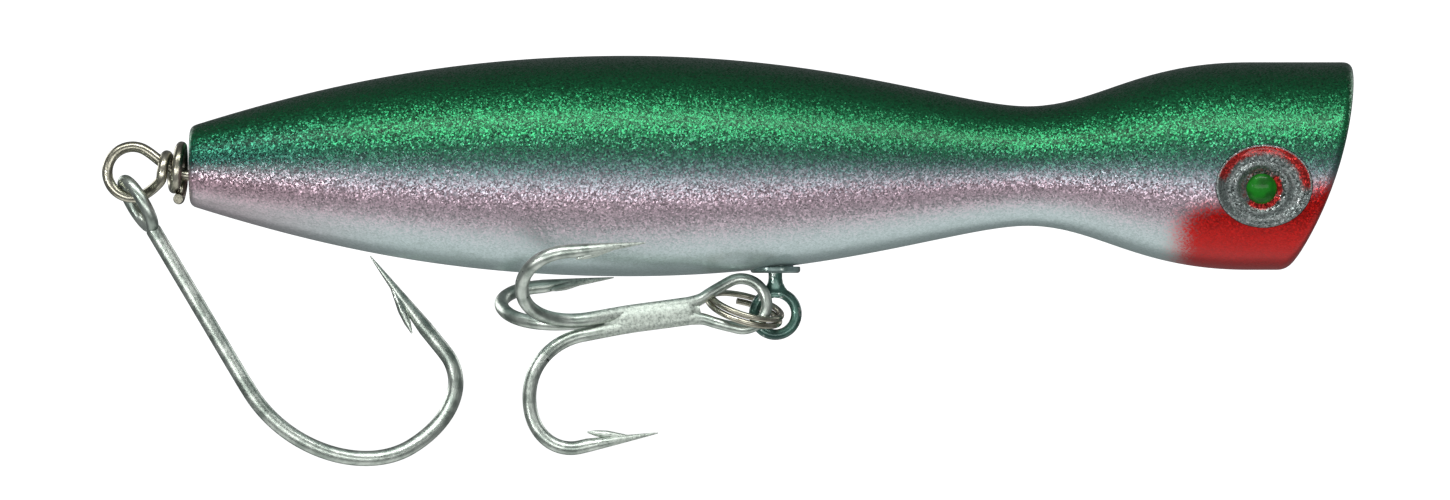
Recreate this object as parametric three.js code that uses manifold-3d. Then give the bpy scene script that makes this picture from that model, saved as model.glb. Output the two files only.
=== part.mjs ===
// Topwater popper: a hollow two-half body on a through wire, with a swivel hanger in the belly,
// a split ring, a three-point hook and a long single hook on the tail loop.
//
// Frame, in millimetres: the origin is the centre of the line-tie ring. +X points to the nose,
// +Z to the back of the lure and +Y to its left side. Stations are distances from the tail face.

import * as THREE from "three";
import { mergeVertices } from "three/addons/utils/BufferGeometryUtils.js";
import Module from "manifold-3d";

// ---- body ----
const BODY_LENGTH = 134.9; // tail face to upper lip
const BODY_AXIS_Z = 1.0; // body axis above the through wire
const LIP_TO_TIE = 5.5; // upper lip to the line-tie centre
const TAIL_RADIUS = 4.6;
const TAIL_ROUND = 0.8;
const BELLY_RADIUS = 12.8;
const BELLY_STATION = 50.8;
const NECK_RADIUS = 6.95;
const NECK_TO_LIP = 37.7;
const HEAD_RADIUS = 12.05;
const HEAD_TO_LIP = 12.2;
const WALL = 2.0;
const CAVITY_FROM_TAIL = 9;
const CAVITY_TO_LIP = 18.5;
const PARTING_GAP = 0.3; // between the two halves
const FIT_GAP = 0.3; // between fixed pieces that touch on the real lure

// ---- mouth ----
const LIP_RAKE = 7.5; // the lower lip sits this far behind the upper one
const FACE_BULGE = 1.5; // rise of the face's arc over its chord
const MOUTH_RADIUS = 10.0;
const MOUTH_DEPTH = 7.6;

// ---- eyes ----
const EYE_TO_LIP = 10.9;
const EYE_DROP = 2.4; // below the body axis
const EYE_HALF_LENGTH = 5.6;
const EYE_HALF_HEIGHT = 4.8;
const EYE_POCKET_DEPTH = 2.3;
const EYE_DISH_DEPTH = 1.3;
const EYE_RING_HEIGHT = 0.5;
const EYE_RING_RADIUS = { foot: 3.0, top: 2.8 };
const EYE_BOWL_SHARE = 0.9; // of the insert's outline
const PUPIL_RADIUS = 1.75;
const PUPIL_RISE = 0.9;
const SEAT_SINK = 0.1; // the pupil's seat below the dish's floor

// ---- through wire ----
const WIRE_DIAMETER = 1.25;
const TIE_INNER_RADIUS = 2.05;
const TIE_LEG_LENGTH = 9; // the bent-back leg under the stem
const TIE_LEG_GAP = 0.15; // between leg and stem
const TAIL_LOOP_INNER_RADIUS = 2.32;
const TAIL_LOOP_GAP = 6.65; // loop centre behind the tail face
const TAIL_LOOP_Z = 0.3;
const TAIL_LOOP_SPAN = { from: 55, to: 300 }; // degrees round the loop, from the stem side over the top
const WRAP_TURNS = 1.333; // round the stem, from the loop to the tail face
const WRAP_FIRST_GAP = 3.3; // first wrap behind the tail face
const WRAP_STEM_GAP = 0.42; // inner wrap to the stem
const WRAP_GROWTH = 0.78; // the wraps open towards the tail face
const WRAP_LIFT = { first: 0.2, last: 0.8 }; // wrap centres above the wire's axis
const TAG_LENGTH = 1.1; // cut end, towards the near side
const TAG_RISE = 0.4;

// ---- lead slugs ----
const BELLY_WEIGHT = { start: 33, length: 24, radius: 6.2 };
const TAIL_WEIGHT = { start: 12.5, length: 13, radius: 4.6 };
const RIB_THICKNESS = 1.6;

// ---- belly hanger ----
const HANGER_STATION = 67.9;
const TOP_EYE_WIRE = 1.0;
const TOP_EYE_INNER_RADIUS = 1.3;
const BARREL_RADIUS = 2.6;
const BARREL_LENGTH = 5.0;
const BARREL_WALL = 0.7;
const BARREL_EDGE = { turnedIn: 0.5, height: 0.6 };
const STEM_RADIUS = 0.8;
const STEM_HEAD_RADIUS = 1.45;
const STEM_HEAD_LENGTH = 0.9;
const TURNING_GAP = 0.3; // round the stems that turn
const HANGER_BOSS_LENGTH = 10;
const GROMMET_FLANGE_RADIUS = 2.9;
const GROMMET_FLANGE_THICKNESS = 0.75;
const GROMMET_FLANGE_STAND_OFF = 0.1; // top of the flange into the belly surface
const GROMMET_SLEEVE_RADIUS = 2.1;
const GROMMET_CHAMFER = 0.35;
const GROMMET_SLEEVE_LENGTH = 0.8; // at least, above the flange
const HANGER_DROP = 5.45; // swivel ring centre below the top of the flange
const HANGER_RING_INNER_RADIUS = 1.82;
const FLARE_RISE = 0.9; // where the neck starts to widen, above the ring
const FLARE_SPREAD = 0.72; // of the ring's wire radius, where the flare meets it

// ---- split ring ----
const SPLIT_WIRE = 0.72;
const SPLIT_PITCH = 0.82; // between its two coils
const SPLIT_OUTER_RADIUS = 4.7;
const SPLIT_TURNS = 1.92;
const SPLIT_DIP = 16; // degrees, forward end down
const SPLIT_LEAN = 17; // degrees, far side up
const SPLIT_SEAT = { forward: 0.6, down: 0.5 }; // its front wire inside the swivel ring

// ---- three-point hook, placed from the centre of its eye ----
const TREBLE_WIRE = 1.6;
const TREBLE_EYE_WIRE = 1.3;
const TREBLE_EYE_INNER_RADIUS = 2.3;
const TREBLE_LENGTH = 26.5; // eye centre to the middle of the bend's wire
const TREBLE_REACH = 14.0; // point lines from the shank's axis
const TREBLE_POINT_BACK = 14.3; // point tips forward of the bend
const TREBLE_SPLAY = 8.0; // where the arms leave the shank, forward of the bend
const TREBLE_OFFSET = { back: 3.9, up: 1.15 }; // eye centre from the swivel ring centre
const TREBLE_EYE_SIDE = 1.45; // inner face of the eye's wire from the middle plane, near side
const TREBLE_YAW = 11; // degrees
const TREBLE_PITCH = -7.6;
const TREBLE_ROLL = -10;
const TREBLE_EYE_NECK = 2.6; // from the eye's ring to the shank
const BRAZE_SIDE = 0.3; // of the wire's diameter, towards the third hook
const BRAZE_END_SHARE = 0.74; // of the way from the eye to where the arms leave the shank
const TREBLE_POINT_LENGTH = 8.4; // ground taper, from the barb to the tip
const BARB_LENGTH = 2.8;
const BARB_LIFT = 0.95; // of the wire's diameter
const NEEDLE_TIP = 0.06; // radius

// ---- tail hook, placed from the centre of its eye ----
const TAIL_HOOK_WIRE = 1.8;
const TAIL_HOOK_LENGTH = 40.4; // eye centre to the middle of the bend's wire
const TAIL_HOOK_GAPE = 23.0;
const TAIL_HOOK_STRAIGHT = 25; // straight part of the shank
const TAIL_HOOK_POINT_BACK = 21.6;
const TAIL_HOOK_POINT_LENGTH = 10.6; // ground taper, from the barb to the tip
const TAIL_HOOK_POINT_LEAN = { base: 0.6, tip: 1.9 }; // towards the shank
const TAIL_HOOK_EYE_WIRE = 1.45;
const TAIL_HOOK_EYE_ROOM = { along: 1.75, across: 0.85 }; // each way between the loop's wire and the eye's
const TAIL_HOOK_EYE_TWIST = 20; // degrees
const TAIL_HOOK_DROOP = 59.2; // degrees below level
const TAIL_HOOK_TURN = 20; // degrees, point to the far side
const TAIL_HOOK_HANG = 0.9; // loop wire's centre above the eye's centre
const TAIL_HOOK_SEAT = 273; // degrees round the tail loop

// ---- fineness ----
const BODY_SEGMENTS = 36;
const OUTLINE_STEPS = 7;
const WIRE_SIDES = 8;
const BALL_SEGMENTS = 24;

const TAIL_X = LIP_TO_TIE - BODY_LENGTH;
const stationX = (station) => TAIL_X + station;
const WIRE_RADIUS = WIRE_DIAMETER / 2;
const tieOuterRadius = TIE_INNER_RADIUS + WIRE_DIAMETER;
const DEGREE = Math.PI / 180;
const FAR = 60; // well past the body, for cutting blocks
const NOSE_STOCK = 2; // turned past the lips, then cut off by the face
const point = (x, y, z) => new THREE.Vector3(x, y, z);
const { lerp, mapLinear } = THREE.MathUtils;

const wasm = await Module();
wasm.setup();

// ---------------------------------------------------------------- solids

// A closed three.js geometry as a solid, moved by a matrix, with its faces turned outwards.
function solid(geometry, matrix = new THREE.Matrix4()) {
  const bare = new THREE.BufferGeometry();
  const loose = geometry.index ? geometry.toNonIndexed() : geometry;
  bare.setAttribute("position", loose.getAttribute("position").clone());
  bare.applyMatrix4(matrix);
  const merged = mergeVertices(bare, 1e-4);
  const corners = merged.index.array;
  const faces = [];
  for (let i = 0; i < corners.length; i += 3) {
    const [a, b, c] = corners.slice(i, i + 3);
    if (a !== b && b !== c && c !== a) faces.push([a, b, c]);
  }
  const build = (order) =>
    new wasm.Manifold(
      new wasm.Mesh({
        numProp: 3,
        vertProperties: merged.attributes.position.array,
        triVerts: new Uint32Array(order.flat()),
      }),
    );
  const made = build(faces);
  return made.volume() < 0 ? build(faces.map(([a, b, c]) => [a, c, b])) : made;
}

const join = (first, ...others) => others.reduce((sum, other) => sum.add(other), first);
const cut = (first, ...others) => others.reduce((rest, other) => rest.subtract(other), first);

// A solid as a geometry with flat-shaded faces.
function geometryOf(made) {
  const { vertProperties, triVerts } = made.getMesh();
  const geometry = new THREE.BufferGeometry();
  geometry.setAttribute("position", new THREE.BufferAttribute(vertProperties, 3));
  geometry.setIndex(new THREE.BufferAttribute(triVerts, 1));
  return geometry;
}

const moved = (x, y, z) => new THREE.Matrix4().makeTranslation(x, y, z);
const turnedTo = (axis, degrees) =>
  new THREE.Matrix4().makeRotationAxis(axis.clone().normalize(), degrees * DEGREE);
const X_AXIS = point(1, 0, 0);
const Y_AXIS = point(0, 1, 0);
const Z_AXIS = point(0, 0, 1);
const LATHE_TO_X = turnedTo(Z_AXIS, -90); // a lathe's own axis is Y
const LATHE_TO_Z = turnedTo(X_AXIS, 90);

// A turned piece along X from [station along the axis, radius] pairs, closed on its axis.
function turnedAlongX(pairs, x, z, segments = BALL_SEGMENTS) {
  const profile = pairs.map(([along, radius]) => new THREE.Vector2(radius, along));
  return solid(new THREE.LatheGeometry(profile, segments), moved(x, 0, z).multiply(LATHE_TO_X));
}

// The same along Z, from [height, radius] pairs.
function turnedAlongZ(pairs, x, z, segments = BALL_SEGMENTS) {
  const profile = pairs.map(([height, radius]) => new THREE.Vector2(radius, height));
  return solid(new THREE.LatheGeometry(profile, segments), moved(x, 0, z).multiply(LATHE_TO_Z));
}

function rod(from, to, radius, tipRadius = radius, sides = WIRE_SIDES) {
  const along = to.clone().sub(from);
  const geometry = new THREE.CylinderGeometry(tipRadius, radius, along.length(), sides);
  const turn = new THREE.Quaternion().setFromUnitVectors(Y_AXIS, along.clone().normalize());
  const middle = from.clone().add(to).multiplyScalar(0.5);
  return solid(geometry, new THREE.Matrix4().compose(middle, turn, point(1, 1, 1)));
}

function block(low, high) {
  const size = high.clone().sub(low);
  const middle = low.clone().add(high).multiplyScalar(0.5);
  return solid(new THREE.BoxGeometry(size.x, size.y, size.z), moved(middle.x, middle.y, middle.z));
}

// Round wire along a smooth curve through points.
function wire(points, diameter, steps, sides = WIRE_SIDES) {
  const section = new THREE.Shape();
  section.absarc(0, 0, diameter / 2, 0, 2 * Math.PI, false);
  const extrudePath = new THREE.CatmullRomCurve3(points, false, "centripetal");
  const settings = { extrudePath, steps, curveSegments: sides / 2, bevelEnabled: false };
  return solid(new THREE.ExtrudeGeometry(section, settings));
}

// Points of a circle's arc in the plane of two unit vectors, angles in degrees.
function arc(centre, radius, first, second, from, to, steps) {
  return Array.from({ length: steps + 1 }, (_, i) => {
    const angle = lerp(from, to, i / steps) * DEGREE;
    return centre
      .clone()
      .addScaledVector(first, radius * Math.cos(angle))
      .addScaledVector(second, radius * Math.sin(angle));
  });
}

function bezier(a, b, c, d, steps) {
  return new THREE.CubicBezierCurve3(a, b, c, d).getPoints(steps);
}

// ---------------------------------------------------------------- body

// Half outline [station, radius] from tail to lip, moved in by inset: full belly, waist, head.
function bodyOutline(inset, from, to) {
  const neck = BODY_LENGTH - NECK_TO_LIP;
  const head = BODY_LENGTH - HEAD_TO_LIP;
  const swell = BELLY_STATION - TAIL_ROUND;
  const taper = neck - BELLY_STATION;
  const flare = head - neck;
  const path = new THREE.Path();
  path.moveTo(0, TAIL_RADIUS - TAIL_ROUND);
  path.quadraticCurveTo(0, TAIL_RADIUS, TAIL_ROUND, TAIL_RADIUS + 0.3 * TAIL_ROUND);
  path.bezierCurveTo(
    TAIL_ROUND + 0.3 * swell,
    TAIL_RADIUS + 0.6 * (BELLY_RADIUS - TAIL_RADIUS),
    BELLY_STATION - 0.4 * swell,
    BELLY_RADIUS,
    BELLY_STATION,
    BELLY_RADIUS,
  );
  path.bezierCurveTo(
    BELLY_STATION + 0.52 * taper,
    BELLY_RADIUS,
    neck - 0.17 * taper,
    NECK_RADIUS,
    neck,
    NECK_RADIUS,
  );
  path.bezierCurveTo(
    neck + 0.31 * flare,
    NECK_RADIUS,
    head - 0.51 * flare,
    HEAD_RADIUS,
    head,
    HEAD_RADIUS,
  );
  path.lineTo(BODY_LENGTH + NOSE_STOCK, HEAD_RADIUS);
  return path
    .getPoints(OUTLINE_STEPS)
    .filter((p) => p.x >= from && p.x <= to)
    .map((p) => [p.x, p.y - inset]);
}

// Radius of the body at a station, read from its own outline.
function bodyRadius(station) {
  const pairs = bodyOutline(0, 0, BODY_LENGTH + NOSE_STOCK);
  const next = pairs.findIndex(([at]) => at >= station);
  const [x0, r0] = pairs[next - 1];
  const [x1, r1] = pairs[next];
  return mapLinear(station, x0, x1, r0, r1);
}

function turnedBody(inset, from, to) {
  const pairs = bodyOutline(inset, from, to);
  const closed = [[pairs[0][0], 0], ...pairs, [pairs.at(-1)[0], 0]];
  return turnedAlongX(closed, TAIL_X, BODY_AXIS_Z, BODY_SEGMENTS);
}

// The raked, gently bulging mouth face, as the space in front of it.
const upperLip = new THREE.Vector2(LIP_TO_TIE, BODY_AXIS_Z + HEAD_RADIUS);
const lowerLip = new THREE.Vector2(LIP_TO_TIE - LIP_RAKE, BODY_AXIS_Z - HEAD_RADIUS);
const faceMiddle = upperLip.clone().add(lowerLip).multiplyScalar(0.5);
const faceUp = upperLip.clone().sub(lowerLip).normalize();
const faceOut = new THREE.Vector2(faceUp.y, -faceUp.x);
const halfChord = upperLip.distanceTo(lowerLip) / 2;
const faceRadius = (halfChord ** 2 + FACE_BULGE ** 2) / (2 * FACE_BULGE);

function frontSpace() {
  const centre = faceMiddle.clone().addScaledVector(faceOut, FACE_BULGE - faceRadius);
  const tilt = Math.atan2(faceOut.y, faceOut.x);
  const spread = 1.25 * Math.asin(halfChord / faceRadius);
  const shape = new THREE.Shape();
  shape.absarc(centre.x, centre.y, faceRadius, tilt - spread, tilt + spread, false);
  shape.lineTo(FAR, FAR);
  shape.lineTo(FAR, -FAR);
  const settings = { depth: 2 * FAR, curveSegments: 10, bevelEnabled: false };
  const upright = moved(0, FAR, 0).multiply(turnedTo(X_AXIS, 90));
  return solid(new THREE.ExtrudeGeometry(shape, settings), upright);
}

function mouthCup() {
  const centre = faceMiddle.clone().addScaledVector(faceOut, FACE_BULGE);
  const tilt = Math.atan2(faceOut.y, faceOut.x) / DEGREE;
  const matrix = moved(centre.x, 0, centre.y)
    .multiply(turnedTo(Y_AXIS, -tilt))
    .scale(point(MOUTH_DEPTH, MOUTH_RADIUS, MOUTH_RADIUS))
    .multiply(turnedTo(Z_AXIS, -90));
  return solid(new THREE.SphereGeometry(1, BALL_SEGMENTS, BALL_SEGMENTS / 2), matrix);
}

// ---- what the halves hold ----

const hangerX = stationX(HANGER_STATION);
const bellyZ = BODY_AXIS_Z - bodyRadius(HANGER_STATION);
const topEyeOuter = TOP_EYE_INNER_RADIUS + TOP_EYE_WIRE;
const topEyeZ = WIRE_RADIUS + FIT_GAP - TOP_EYE_INNER_RADIUS;
const barrelTop = topEyeZ - topEyeOuter - FIT_GAP;
const barrelBottom = barrelTop - BARREL_LENGTH;
const sleeveTop = barrelBottom - FIT_GAP;
const lowestFlange = sleeveTop - FIT_GAP - GROMMET_SLEEVE_LENGTH; // where the body is too slim for the barrel
const flangeTop = Math.min(bellyZ + GROMMET_FLANGE_STAND_OFF, lowestFlange);
const ringZ = flangeTop - HANGER_DROP;
const legDrop = WIRE_DIAMETER + TIE_LEG_GAP;

function weightSpace({ start, length, radius }) {
  const low = start - FIT_GAP;
  const high = start + length + FIT_GAP;
  const pairs = [
    [low, 0],
    [low, radius + FIT_GAP],
    [high, radius + FIT_GAP],
    [high, 0],
  ];
  return turnedAlongX(pairs, TAIL_X, 0);
}

function crossRib(station) {
  const low = point(stationX(station), -FAR, -FAR);
  return block(low, point(stationX(station + RIB_THICKNESS), FAR, FAR));
}

// Ribs at both ends of each slug and under its middle, and a boss round the swivel.
function innerRibs() {
  const ribs = [BELLY_WEIGHT, TAIL_WEIGHT].flatMap(({ start, length }) => [
    crossRib(start - FIT_GAP - RIB_THICKNESS),
    crossRib(start + (length - RIB_THICKNESS) / 2),
    crossRib(start + length + FIT_GAP),
  ]);
  const half = HANGER_BOSS_LENGTH / 2;
  const top = topEyeZ + topEyeOuter + FIT_GAP;
  const boss = block(point(hangerX - half, -FAR, -FAR), point(hangerX + half, FAR, top));
  return join(boss, ...ribs);
}

function hangerBore() {
  const bore = Math.max(BARREL_RADIUS, topEyeOuter) + FIT_GAP;
  const sleeve = GROMMET_SLEEVE_RADIUS + FIT_GAP;
  const flange = GROMMET_FLANGE_RADIUS + FIT_GAP;
  const pairs = [
    [bellyZ - FAR, 0],
    [bellyZ - FAR, flange],
    [flangeTop + FIT_GAP, flange],
    [flangeTop + FIT_GAP, sleeve],
    [sleeveTop, sleeve],
    [sleeveTop, bore],
    [topEyeZ + topEyeOuter + FIT_GAP, bore],
    [topEyeZ + topEyeOuter + FIT_GAP, 0],
  ];
  return turnedAlongZ(pairs, hangerX, 0);
}

// The stem's channel, widened behind the mouth for the bent-back leg of the line tie.
function wireChannel() {
  const stem = rod(point(-FAR * 3, 0, 0), point(FAR, 0, 0), WIRE_RADIUS + FIT_GAP);
  const slotHalf = WIRE_RADIUS + FIT_GAP;
  const slotEnd = -tieOuterRadius - TIE_LEG_LENGTH - 2 * FIT_GAP;
  const low = point(slotEnd, -slotHalf, -legDrop - slotHalf);
  return join(stem, block(low, point(0, slotHalf, slotHalf)));
}

function eyeSpace(side, grow, depth) {
  const level = bodyRadius(BODY_LENGTH - EYE_TO_LIP);
  const radii = point(EYE_HALF_LENGTH + grow, EYE_HALF_HEIGHT + grow, 1);
  const matrix = moved(LIP_TO_TIE - EYE_TO_LIP, side * level, BODY_AXIS_Z - EYE_DROP)
    .multiply(turnedTo(X_AXIS, -side * 90))
    .scale(radii)
    .multiply(turnedTo(X_AXIS, 90));
  return solid(new THREE.CylinderGeometry(1, 1, 2 * depth, BALL_SEGMENTS), matrix);
}

const outerBody = cut(turnedBody(0, 0, BODY_LENGTH + NOSE_STOCK), frontSpace());

function bodyShells() {
  const cavity = turnedBody(WALL, CAVITY_FROM_TAIL, BODY_LENGTH - CAVITY_TO_LIP);
  const whole = cut(
    outerBody,
    cut(cavity, innerRibs()),
    mouthCup(),
    wireChannel(),
    weightSpace(BELLY_WEIGHT),
    weightSpace(TAIL_WEIGHT),
    hangerBore(),
    eyeSpace(1, 0, EYE_POCKET_DEPTH),
    eyeSpace(-1, 0, EYE_POCKET_DEPTH),
  );
  const half = PARTING_GAP / 2;
  const left = block(point(-3 * FAR, half, -FAR), point(FAR, FAR, FAR));
  const right = block(point(-3 * FAR, -FAR, -FAR), point(FAR, -half, FAR));
  return { left: whole.intersect(left), right: whole.intersect(right) };
}

// ---------------------------------------------------------------- through wire

function throughWire() {
  const tieRadius = TIE_INNER_RADIUS + WIRE_RADIUS;
  const tie = solid(
    new THREE.TorusGeometry(tieRadius, WIRE_RADIUS, WIRE_SIDES, BALL_SEGMENTS),
    turnedTo(X_AXIS, 90),
  );
  const legEnd = -tieOuterRadius - TIE_LEG_LENGTH;
  const legRoute = [
    ...arc(point(0, 0, 0), tieRadius, X_AXIS, Z_AXIS, 226, 214, 1),
    point(-tieRadius - 0.7 * WIRE_DIAMETER, 0, -legDrop),
    point(legEnd, 0, -legDrop),
  ];
  const leg = wire(legRoute, 0.96 * WIRE_DIAMETER, 12);
  const stemRadius = 1.03 * WIRE_RADIUS; // round the bent wire's flats where the two overlap
  const stemEnd = point(TAIL_X + 2.4 * WIRE_DIAMETER, 0, 0);
  const overlap = point(WIRE_DIAMETER, 0, 0);
  const stem = rod(stemEnd, point(-tieRadius, 0, 0), stemRadius, stemRadius, 12);
  return join(tie, leg, stem, tailLoop(stemEnd.clone().add(overlap)));
}

// The stem turns up into the loop, comes back underneath and wraps the stem.
function tailLoop(stemEnd) {
  const loop = point(TAIL_X - TAIL_LOOP_GAP, 0, TAIL_LOOP_Z);
  const radius = TAIL_LOOP_INNER_RADIUS + WIRE_RADIUS;
  const { from, to } = TAIL_LOOP_SPAN;
  const round = arc(loop, radius, X_AXIS, Z_AXIS, from, to, 14);
  const firstRadius = WIRE_DIAMETER + WRAP_STEM_GAP;
  const lastRadius = firstRadius + WRAP_GROWTH;
  const firstX = TAIL_X - WRAP_FIRST_GAP;
  const lastX = TAIL_X - FIT_GAP - WIRE_RADIUS - 0.04;
  const wraps = [];
  const start = 60;
  const end = 690;
  const spiral = WRAP_TURNS * 360;
  for (let turn = start; turn <= end; turn += 30) {
    const share = Math.min(1, (turn - start) / spiral);
    const wrapRadius = lerp(firstRadius, lastRadius, share);
    const middle = lerp(WRAP_LIFT.first, WRAP_LIFT.last, share);
    const x = lerp(firstX, lastX, share);
    const angle = turn * DEGREE;
    wraps.push(point(x, -wrapRadius * Math.sin(angle), middle - wrapRadius * Math.cos(angle)));
  }
  const tagZ = BODY_AXIS_Z + TAG_RISE - firstRadius - lastRadius;
  const tagX = lastX - 0.4 * WIRE_RADIUS;
  const route = [
    stemEnd,
    point(TAIL_X - 1, 0, 0),
    point(TAIL_X - 2.1, 0, 0.55),
    ...round,
    ...wraps,
    point(tagX, 0.3, tagZ),
    point(tagX - 0.1, -TAG_LENGTH, tagZ - 0.1),
  ];
  return wire(route, WIRE_DIAMETER, 84);
}

// ---------------------------------------------------------------- lead slugs

function slug({ start, length, radius }) {
  const bore = WIRE_RADIUS + FIT_GAP;
  const chamfer = 0.8;
  const pairs = [
    [start, bore],
    [start, radius - chamfer],
    [start + chamfer, radius],
    [start + length - chamfer, radius],
    [start + length, radius - chamfer],
    [start + length, bore],
    [start, bore],
  ];
  return turnedAlongX(pairs, TAIL_X, 0);
}

// ---------------------------------------------------------------- belly hanger

function swivelStem(from, to, headFrom, headTo) {
  const neck = rod(point(hangerX, 0, from), point(hangerX, 0, to), STEM_RADIUS, STEM_RADIUS, 16);
  const high = point(hangerX, 0, headTo);
  return join(neck, rod(point(hangerX, 0, headFrom), high, STEM_HEAD_RADIUS, STEM_HEAD_RADIUS, 20));
}

function swivelTopEye() {
  const radius = TOP_EYE_INNER_RADIUS + TOP_EYE_WIRE / 2;
  const ring = solid(
    new THREE.TorusGeometry(radius, TOP_EYE_WIRE / 2, WIRE_SIDES, 24),
    moved(hangerX, 0, topEyeZ).multiply(turnedTo(Y_AXIS, 90)),
  );
  const headTop = barrelTop - BARREL_WALL - TURNING_GAP;
  const headLow = headTop - STEM_HEAD_LENGTH;
  return join(ring, swivelStem(headLow, topEyeZ - radius, headLow, headTop));
}

function swivelBarrel() {
  const inner = BARREL_RADIUS - BARREL_WALL;
  const bore = STEM_RADIUS + TURNING_GAP;
  const edgeRadius = BARREL_RADIUS - BARREL_EDGE.turnedIn;
  const pairs = [
    [barrelBottom, bore],
    [barrelBottom, edgeRadius],
    [barrelBottom + BARREL_EDGE.height, BARREL_RADIUS],
    [barrelTop - BARREL_EDGE.height, BARREL_RADIUS],
    [barrelTop, edgeRadius],
    [barrelTop, bore],
    [barrelTop - BARREL_WALL, bore],
    [barrelTop - BARREL_WALL, inner],
    [barrelBottom + BARREL_WALL, inner],
    [barrelBottom + BARREL_WALL, bore],
    [barrelBottom, bore],
  ];
  return turnedAlongZ(pairs, hangerX, 0, 24);
}

// The turning half of the swivel: headed stem, flared neck and ring.
function swivelBottomEye() {
  const radius = HANGER_RING_INNER_RADIUS + WIRE_RADIUS;
  const ring = solid(
    new THREE.TorusGeometry(radius, WIRE_RADIUS, WIRE_SIDES, BALL_SEGMENTS),
    moved(hangerX, 0, ringZ).multiply(turnedTo(X_AXIS, 90)),
  );
  const headLow = barrelBottom + BARREL_WALL + TURNING_GAP;
  const stem = swivelStem(ringZ + radius, headLow, headLow, headLow + STEM_HEAD_LENGTH);
  const flareTop = ringZ + radius + WIRE_RADIUS + FLARE_RISE;
  const flareWaist = ringZ + radius + 0.3 * WIRE_RADIUS;
  const flareLow = ringZ + radius - 0.85 * WIRE_RADIUS;
  const flareHalf = FLARE_SPREAD * radius;
  const flare = new THREE.Shape();
  flare.moveTo(-STEM_RADIUS, flareTop);
  flare.quadraticCurveTo(-STEM_RADIUS, flareWaist, -flareHalf, flareLow);
  flare.lineTo(flareHalf, flareLow);
  flare.quadraticCurveTo(STEM_RADIUS, flareWaist, STEM_RADIUS, flareTop);
  const settings = { depth: 1.8 * WIRE_RADIUS, curveSegments: 6, bevelEnabled: false };
  const upright = moved(hangerX, 0.9 * WIRE_RADIUS, 0).multiply(turnedTo(X_AXIS, 90));
  return join(ring, stem, solid(new THREE.ExtrudeGeometry(flare, settings), upright));
}

function bellyGrommet() {
  const bore = STEM_RADIUS + TURNING_GAP;
  const low = flangeTop - GROMMET_FLANGE_THICKNESS;
  const pairs = [
    [low, bore],
    [low, GROMMET_FLANGE_RADIUS - GROMMET_CHAMFER],
    [low + GROMMET_CHAMFER, GROMMET_FLANGE_RADIUS],
    [flangeTop, GROMMET_FLANGE_RADIUS],
    [flangeTop, GROMMET_SLEEVE_RADIUS],
    [sleeveTop - FIT_GAP, GROMMET_SLEEVE_RADIUS],
    [sleeveTop - FIT_GAP, bore],
    [low, bore],
  ];
  return turnedAlongZ(pairs, hangerX, 0, 24);
}

// ---------------------------------------------------------------- eyes

const eyeX = LIP_TO_TIE - EYE_TO_LIP;
const eyeZ = BODY_AXIS_Z - EYE_DROP;
const eyeFloor = bodyRadius(BODY_LENGTH - EYE_TO_LIP) - EYE_DISH_DEPTH; // from the middle plane
const onEyeAxis = (side, level) => point(eyeX, side * level, eyeZ);

// An oval insert that follows the body's side, dished, with a raised ring round the pupil.
function eyeDish(side) {
  const blank = eyeSpace(side, -FIT_GAP, EYE_POCKET_DEPTH - FIT_GAP).intersect(outerBody);
  const rim = eyeFloor + EYE_DISH_DEPTH;
  const halfLength = EYE_BOWL_SHARE * EYE_HALF_LENGTH;
  const halfHeight = EYE_BOWL_SHARE * EYE_HALF_HEIGHT;
  const bowl = solid(
    new THREE.SphereGeometry(1, BALL_SEGMENTS, 16),
    moved(eyeX, side * rim, eyeZ).scale(point(halfLength, EYE_DISH_DEPTH, halfHeight)),
  );
  const ringTop = eyeFloor + EYE_RING_HEIGHT;
  const { foot, top } = EYE_RING_RADIUS;
  const foundation = onEyeAxis(side, eyeFloor - EYE_RING_HEIGHT);
  const ring = rod(foundation, onEyeAxis(side, ringTop), foot, top, BALL_SEGMENTS);
  return cut(join(cut(blank, bowl), ring), pupilSeat(side));
}

function pupilSeat(side) {
  const radius = PUPIL_RADIUS + FIT_GAP;
  const low = onEyeAxis(side, eyeFloor - SEAT_SINK);
  return rod(low, onEyeAxis(side, eyeFloor + 2 * PUPIL_RISE), radius, radius, BALL_SEGMENTS);
}

// A domed pupil, flat where it sits.
function eyePupil(side) {
  const base = eyeFloor + FIT_GAP - SEAT_SINK;
  const dome = solid(
    new THREE.SphereGeometry(1, BALL_SEGMENTS, 12),
    moved(eyeX, side * base, eyeZ).scale(point(PUPIL_RADIUS, PUPIL_RISE, PUPIL_RADIUS)),
  );
  const reach = 2 * PUPIL_RADIUS;
  const inner = point(eyeX - reach, side * base, eyeZ - reach);
  const outer = point(eyeX + reach, side * (base + reach), eyeZ + reach);
  return dome.intersect(block(inner.clone().min(outer), inner.clone().max(outer)));
}

// ---------------------------------------------------------------- split ring

const splitRadius = SPLIT_OUTER_RADIUS - SPLIT_WIRE / 2;

// Two close coils of spring wire, whose front wire lies inside the swivel ring.
function splitRing() {
  const steps = Math.round(SPLIT_TURNS * 22);
  const coil = Array.from({ length: steps + 1 }, (_, i) => {
    const angle = (i / steps - 0.5) * SPLIT_TURNS * 2 * Math.PI + 90 * DEGREE;
    const rise = (i / steps - 0.5) * SPLIT_TURNS * SPLIT_PITCH;
    return point(splitRadius * Math.cos(angle), splitRadius * Math.sin(angle), rise);
  });
  return wire(coil, SPLIT_WIRE, steps);
}

function placeSplitRing(group) {
  const dip = SPLIT_DIP * DEGREE;
  const frontX = hangerX + SPLIT_SEAT.forward;
  const frontZ = ringZ - SPLIT_SEAT.down;
  group.position.set(frontX - splitRadius * Math.cos(dip), 0, frontZ + splitRadius * Math.sin(dip));
  group.rotation.set(SPLIT_LEAN * DEGREE, dip, 0, "YXZ");
}

// ---------------------------------------------------------------- hooks

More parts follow.
